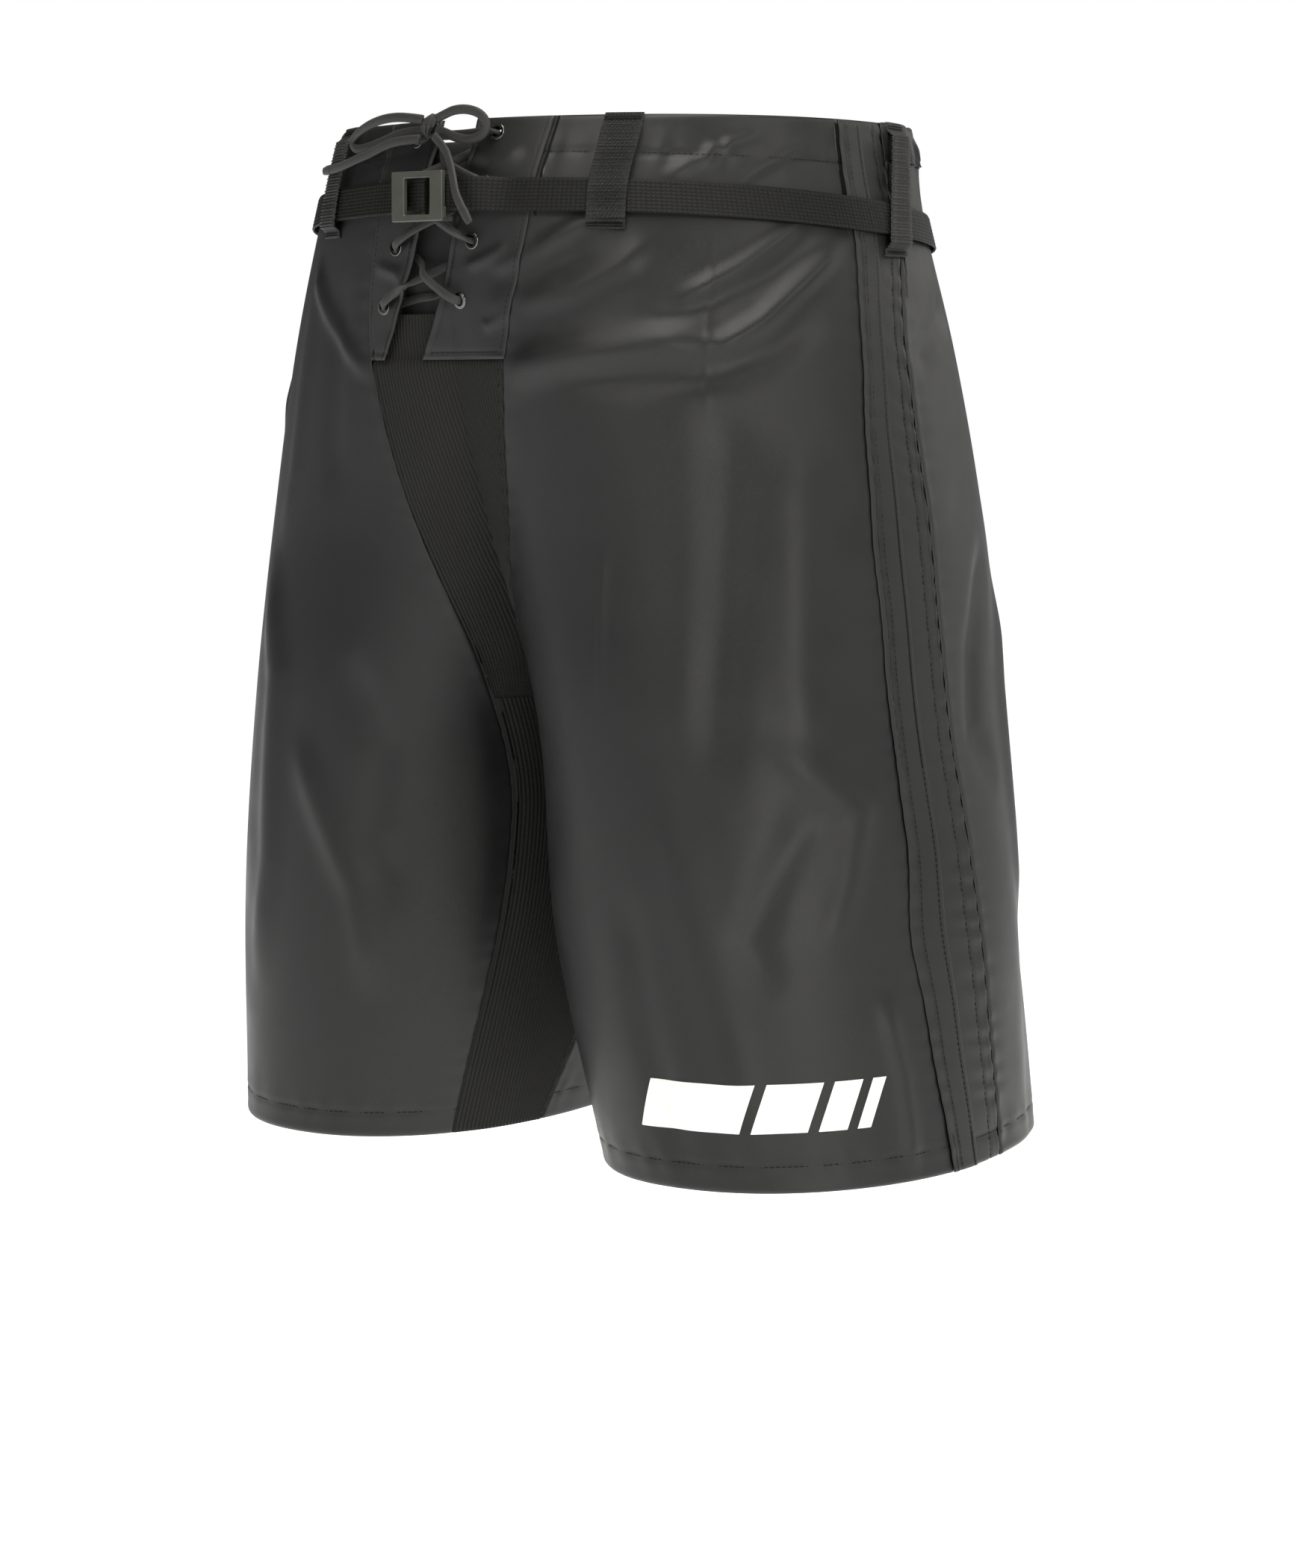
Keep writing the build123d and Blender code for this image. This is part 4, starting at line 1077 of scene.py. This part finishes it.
def placket(side, name):
    """Doubled placket with real eyelet holes; the wearer's-right one curls at its free edge."""
    def relief(h, t, s, r):
        free, sewn = (s, r)[::side]
        stitched = groove(free - PLACKET_STITCH, 0.5, 0.9) + groove(sewn - SEAM_STITCH, 0.3, 0.9)
        stitched += groove(h - FLY_FOOT_Z - PLACKET_STITCH, 0.5, 0.9)
        roll = 0.5 + 0.75 * np.exp(-free / 6) * ease((-40 - h) / 60)
        roll += 0.45 * np.exp(-((free - 1.8) / 1.5) ** 2)
        if side < 0:
            roll += 2.6 * np.exp(-free / 5) * ease((-84 - h) / 30)
        wave = 0.5 * np.sin(h / 9.5 + side) * np.exp(-free / 9)
        return stitched + roll + wave + pucker(h, free - PLACKET_STITCH, 0.25)

    ends = (lambda h: slit_centre(h) + side * SLIT_HALF, lambda h: front_seam_x(h, side))
    obj = cloth(f"placket_cloth_{name}", front_course(*ends[::side]), RIM_Z - 0.1, FLY_FOOT_Z, thick=1.4,
                relief=relief, step=1.5, edges=(*(0.7, 0.45)[::side], 0.5, 0.8))
    for x, z in eyelet_centres(side):
        cut_hole(obj, eyelet_point(x, z, 9.0), eyelet_point(x, z, -9.0))
    finish_piece(obj, "shell_fabric", f"fly_placket_{name}")
    declare_sheet(obj)


def tongue():
    def left(h):
        return slit_centre(h) + SLIT_HALF + 9

    def right(h):
        return np.maximum(slit_centre(h) - SLIT_HALF - 9, -49)

    def relief(h, t, s, r):
        return 0.8 * np.sin(h / 17 + 2 * t) * np.sin(math.pi * t)

    panel("tongue_knit_cloth", front_course(right, left), TONGUE_TOP_Z, FLY_FOOT_Z - 3, "tongue_knit",
          "fly_tongue", "placket_cloth_left", out=TONGUE_OUT, thick=KNIT, edges=(0.4, 0.4, 0.4, 0),
          relief=relief)


# ---------------------------------------------------------------- belt and loops
def belt_half(height, angles, side):
    """Plan of the webbing's run round one side, standing off more beside the buckle."""
    height = height + BELT_TILT * leg_xy(height, angles)[1]
    from_buckle = (side * leg_xy(height, angles)[0] - BUCKLE_X) / 75
    near_fly = np.where(angles < 0, np.maximum(0.0, 1 - from_buckle ** 2), 0.0)
    x, y = leg_xy(height, angles, BELT_OUT + BELT_OVER_FLY * near_fly ** 2)
    return list(zip(side * x, y))


def belt_course(height):
    """Course of the webbing in plan, from the sewn end to the free end."""
    rear = BUCKLE_BACK_Y
    bar_x, bar_y = BUCKLE_X + BUCKLE_WIDTH / 2 - 5.0, rear - 2.2
    raised_x, raised_y = BUCKLE_X - 0.5, rear - 2.4
    hinge_x = BUCKLE_X - BUCKLE_WIDTH / 2 + HINGE_INSET
    wrap = END_BAR + 0.5 + WEBBING_THICK / 2
    over_wrap = RAISED_BAR + 0.45 + WEBBING_THICK / 2
    sewn = [(bar_x + 22, rear + 0.6), (bar_x + 13, rear + 0.3), (bar_x + 4, rear)]
    round_bar = [(bar_x - wrap * math.sin(a), bar_y + wrap * math.cos(a)) for a in np.linspace(0.3, 2.8, 7)]
    leave = [(bar_x + 8, rear - 3.8), (bar_x + 20, rear - 2.4)]
    middle = float(angle_at(0.0, height, rear=True))
    halves = []
    for side, start, count in ((1, BUCKLE_X + 53.5, 12), (-1, BUCKLE_X - 31.5, 11)):
        ahead = np.linspace(float(angle_at(start, height)), -20, count)
        angles = np.concatenate([ahead, np.linspace(-12, middle, 18)[:-1]])
        halves.append(belt_half(height, angles, side))
    back = [(0.0, float(face_y(0.0, height, BELT_OUT, rear=True)))]
    enter = [(hinge_x - 4, rear - 0.3), (hinge_x + 2, rear - 0.4), (raised_x - 5, rear - 4)]
    turns = np.linspace(0, 2.2, 6)
    over = [(raised_x + over_wrap * math.sin(a), raised_y - over_wrap * math.cos(a)) for a in turns]
    free = [(raised_x - 3, rear + 0.8), (raised_x - 12, rear + 1.5), (raised_x - 20, rear + 1.5)]
    front = sewn + round_bar + leave
    return np.array(front + halves[0] + back + halves[1][::-1] + enter + over + free, float)


def rounded_line(points, i, t):
    """Smooth line through points, read in segments i at shares t."""
    lengths = run_lengths(points)
    span = (lengths[i + 1] - lengths[i])[:, None]
    return cubic(points, np.gradient(points, lengths, axis=0), i, t[:, None], span)


def belt():
    """Webbing with rounded selvedges, woven in crosswise ribs of slanted yarns."""
    step, columns = 0.5, 43
    lengths = run_lengths(belt_course(BELT_MID_Z))
    at = np.linspace(0, lengths[-1], int(lengths[-1] / step))
    i = np.clip(np.searchsorted(lengths, at, side="right") - 1, 0, len(lengths) - 2)
    share = (at - lengths[i]) / (lengths[i + 1] - lengths[i])
    upper = rounded_line(belt_course(BELT_MID_Z + WEBBING / 2), i, share)
    lower = rounded_line(belt_course(BELT_MID_Z - WEBBING / 2), i, share)
    across = np.linspace(0, 1, columns)
    plan = upper[:, None, :] * (1 - across)[None, :, None] + lower[:, None, :] * across[None, :, None]
    ahead = np.gradient(plan, axis=0)
    ahead /= np.linalg.norm(ahead, axis=2)[..., None]
    outward = np.stack([ahead[..., 1], -ahead[..., 0]], -1)
    edge = np.minimum(across, 1 - across) * WEBBING
    selvedge = groove(edge, 0.45, 0.45)
    local = (at / BELT_RIB)[:, None] % 1 - 0.5
    yarn = np.cos(math.tau * (across * WEBBING / BELT_YARN + 0.9 * np.abs(local)))
    weave = 0.2 * yarn * np.cos(math.pi * local) - 0.26 * np.abs(2 * local) ** 5
    layers = []
    for face in (1, -1):
        depth = face * (WEBBING_THICK / 2 - 0.05 + selvedge[None, :] + weave)
        xy = plan + depth[..., None] * outward
        z = BELT_MID_Z + WEBBING / 2 - across[None, :] * WEBBING + BELT_TILT * xy[..., 1]
        layers.append(np.concatenate([xy, z[..., None]], -1))
    flat = np.stack(np.broadcast_arrays(across[None, :] * WEBBING, at[:, None]), -1) * MM
    # colour lightening: painted highlight on the raised yarns of the weave
    obj = shell_mesh("belt_cloth", *layers, flat, np.clip(0.5 + 3 * weave, 0, 1))
    finish_piece(obj, "belt_web", "belt_webbing")
    length = float(at[-1]) * MM
    obj["cut"] = (WEBBING * MM, length, WEBBING * MM * length)
    declare_sheet(obj)


def belt_loop(side, name, place):
    """One webbing loop; gives the bar tack lines that hold it."""
    head, foot, length = LOOPS[place]

    def centre(h):
        return head + (foot - head) * (-h / length)

    def arch(h):
        from_end = np.minimum(-h - LOOP_SEWN, length + h - LOOP_SEWN)
        return LOOP_ARCH * ease(from_end / LOOP_RAMP)

    def edge(h, way):
        x, y = leg_xy(h, centre(h))
        return centre(h) + way * np.degrees(LOOP_WIDTH / 2 / np.hypot(x - section(h)[0], y))

    def relief(h, t, s, r):
        rib = 0.24 * np.cos(math.tau * h / LOOP_RIB) + 0.1 * np.cos(math.pi * h / LOOP_RIB)
        return arch(h) + rib + 0.12 * np.sin(math.tau * (s / 1.3 + h / 2 / LOOP_RIB))

    course = leg_course(lambda h: edge(h, -1), lambda h: edge(h, 1), side)
    panel(f"loop_cloth_{place}_{name}", course, 0.8, -length, "loop_web", f"belt_loop_{place}_{name}",
          f"front_cloth_{name}", out=1.9, thick=1.2, edges=(0.5, 0.5, 0.4, 0.4), relief=relief, step=0.34,
          column_step=0.42)
    tacks = []
    for height in (-2.2, -length + 2.2):
        angles = np.linspace(float(edge(height, -1)), float(edge(height, 1)), 24)
        out = 2.35 + float(arch(height))
        tacks += [skin_line(np.full(24, height + zigzag), angles, side, out) for zigzag in (-0.7, 0.7)]
    return tacks


def belt_loops():
    tacks = []
    for side, name in SIDES:
        for place in LOOPS:
            tacks += belt_loop(side, name, place)
    stitches("loop_bar_tacks", tacks, pitch=1.5, length=1.9, thick=0.5, slot="loop_web")


def seam_stitches():
    for side, name in SIDES:
        h = np.linspace(RIM_Z - 3, HEM_Z + 1, 400)
        lines = []
        for share in STRIPE_STITCHES:
            out = 1.25 if share < STRIPE_FLAP_SHARE else -0.35
            lines.append(skin_line(h, stripe_at(h, share), side, out))
        stitches(f"side_stitching_{name}", lines, slot="stripe_fabric")
        angles = np.linspace(-180, 180, 700) + 18
        hem = skin_line(np.full(700, HEM_Z + HEM_STITCH), angles, side, -0.35)
        stitches(f"hem_stitching_{name}", [hem])
        t = np.linspace(0, 1, 200)
        h = casing_seam(t)
        seam = front_seam(h, side)
        front = skin_line(h, seam + (stripe_front(h) - seam) * t, side, -0.45)
        rear = skin_line(np.full(300, casing_seam(0.0)), np.linspace(7, 88, 300), side, 0.3)
        stitches(f"casing_stitching_{name}", [front, rear])
        h = np.linspace(-3, FLY_FOOT_Z + PLACKET_STITCH, 160)
        free = slit_centre(h) + side * (SLIT_HALF + PLACKET_STITCH)
        sewn = front_seam_x(h, side) - side * SEAM_STITCH
        foot = front_skin_line(np.linspace(free[-1], sewn[-1], 40), np.full(40, h[-1]), 0.3)
        lines = [front_skin_line(free, h, 0.35), front_skin_line(sewn, h, 0.3), foot]
        stitches(f"placket_stitching_{name}", lines)


# ---------------------------------------------------------------- print and hard parts
def leg_print():
    start = PRINT_START
    for number, width in enumerate(PRINT_SEGMENTS, 1):
        def edge(shift):
            return lambda h: start + shift + PRINT_SLANT * (h - PRINT_TOP_Z) / PRINT_HEIGHT

        obj = cloth(f"leg_print_bar_{number}", leg_course(edge(0), edge(width), 1), PRINT_TOP_Z,
                    PRINT_TOP_Z - PRINT_HEIGHT, out=0.42, thick=0.35, edges=(0.1, 0.1, 0.1, 0.1))
        del obj["cut"]
        finish_piece(obj, "print_film")
        if number == 1:
            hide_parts("leg_print")
        start += width + PRINT_SPACE


def hard_parts():
    looks = {"buckle_base": PLASTIC, "buckle_lever": PLASTIC, "buckle_pin": STEEL}
    looks |= {f"{base}_{name}": NICKEL for base in ("eyelets", "eyelet_washers") for _, name in SIDES}
    for node, material in looks.items():
        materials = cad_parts[node].data.materials
        materials.clear()
        materials.append(material)


bpy.context.scene.view_settings.view_transform = "Standard"
place_camera()
studio()
laces()
for leg_side, leg_name in SIDES:
    front_panel(leg_side, leg_name)
    back_panel(leg_side, leg_name)
    side_panel(leg_side, leg_name)
    placket(leg_side, leg_name)
gussets()
inner_layers()
rear_waistband()
tongue()
belt_loops()
belt()
seam_stitches()
leg_print()
hard_parts()
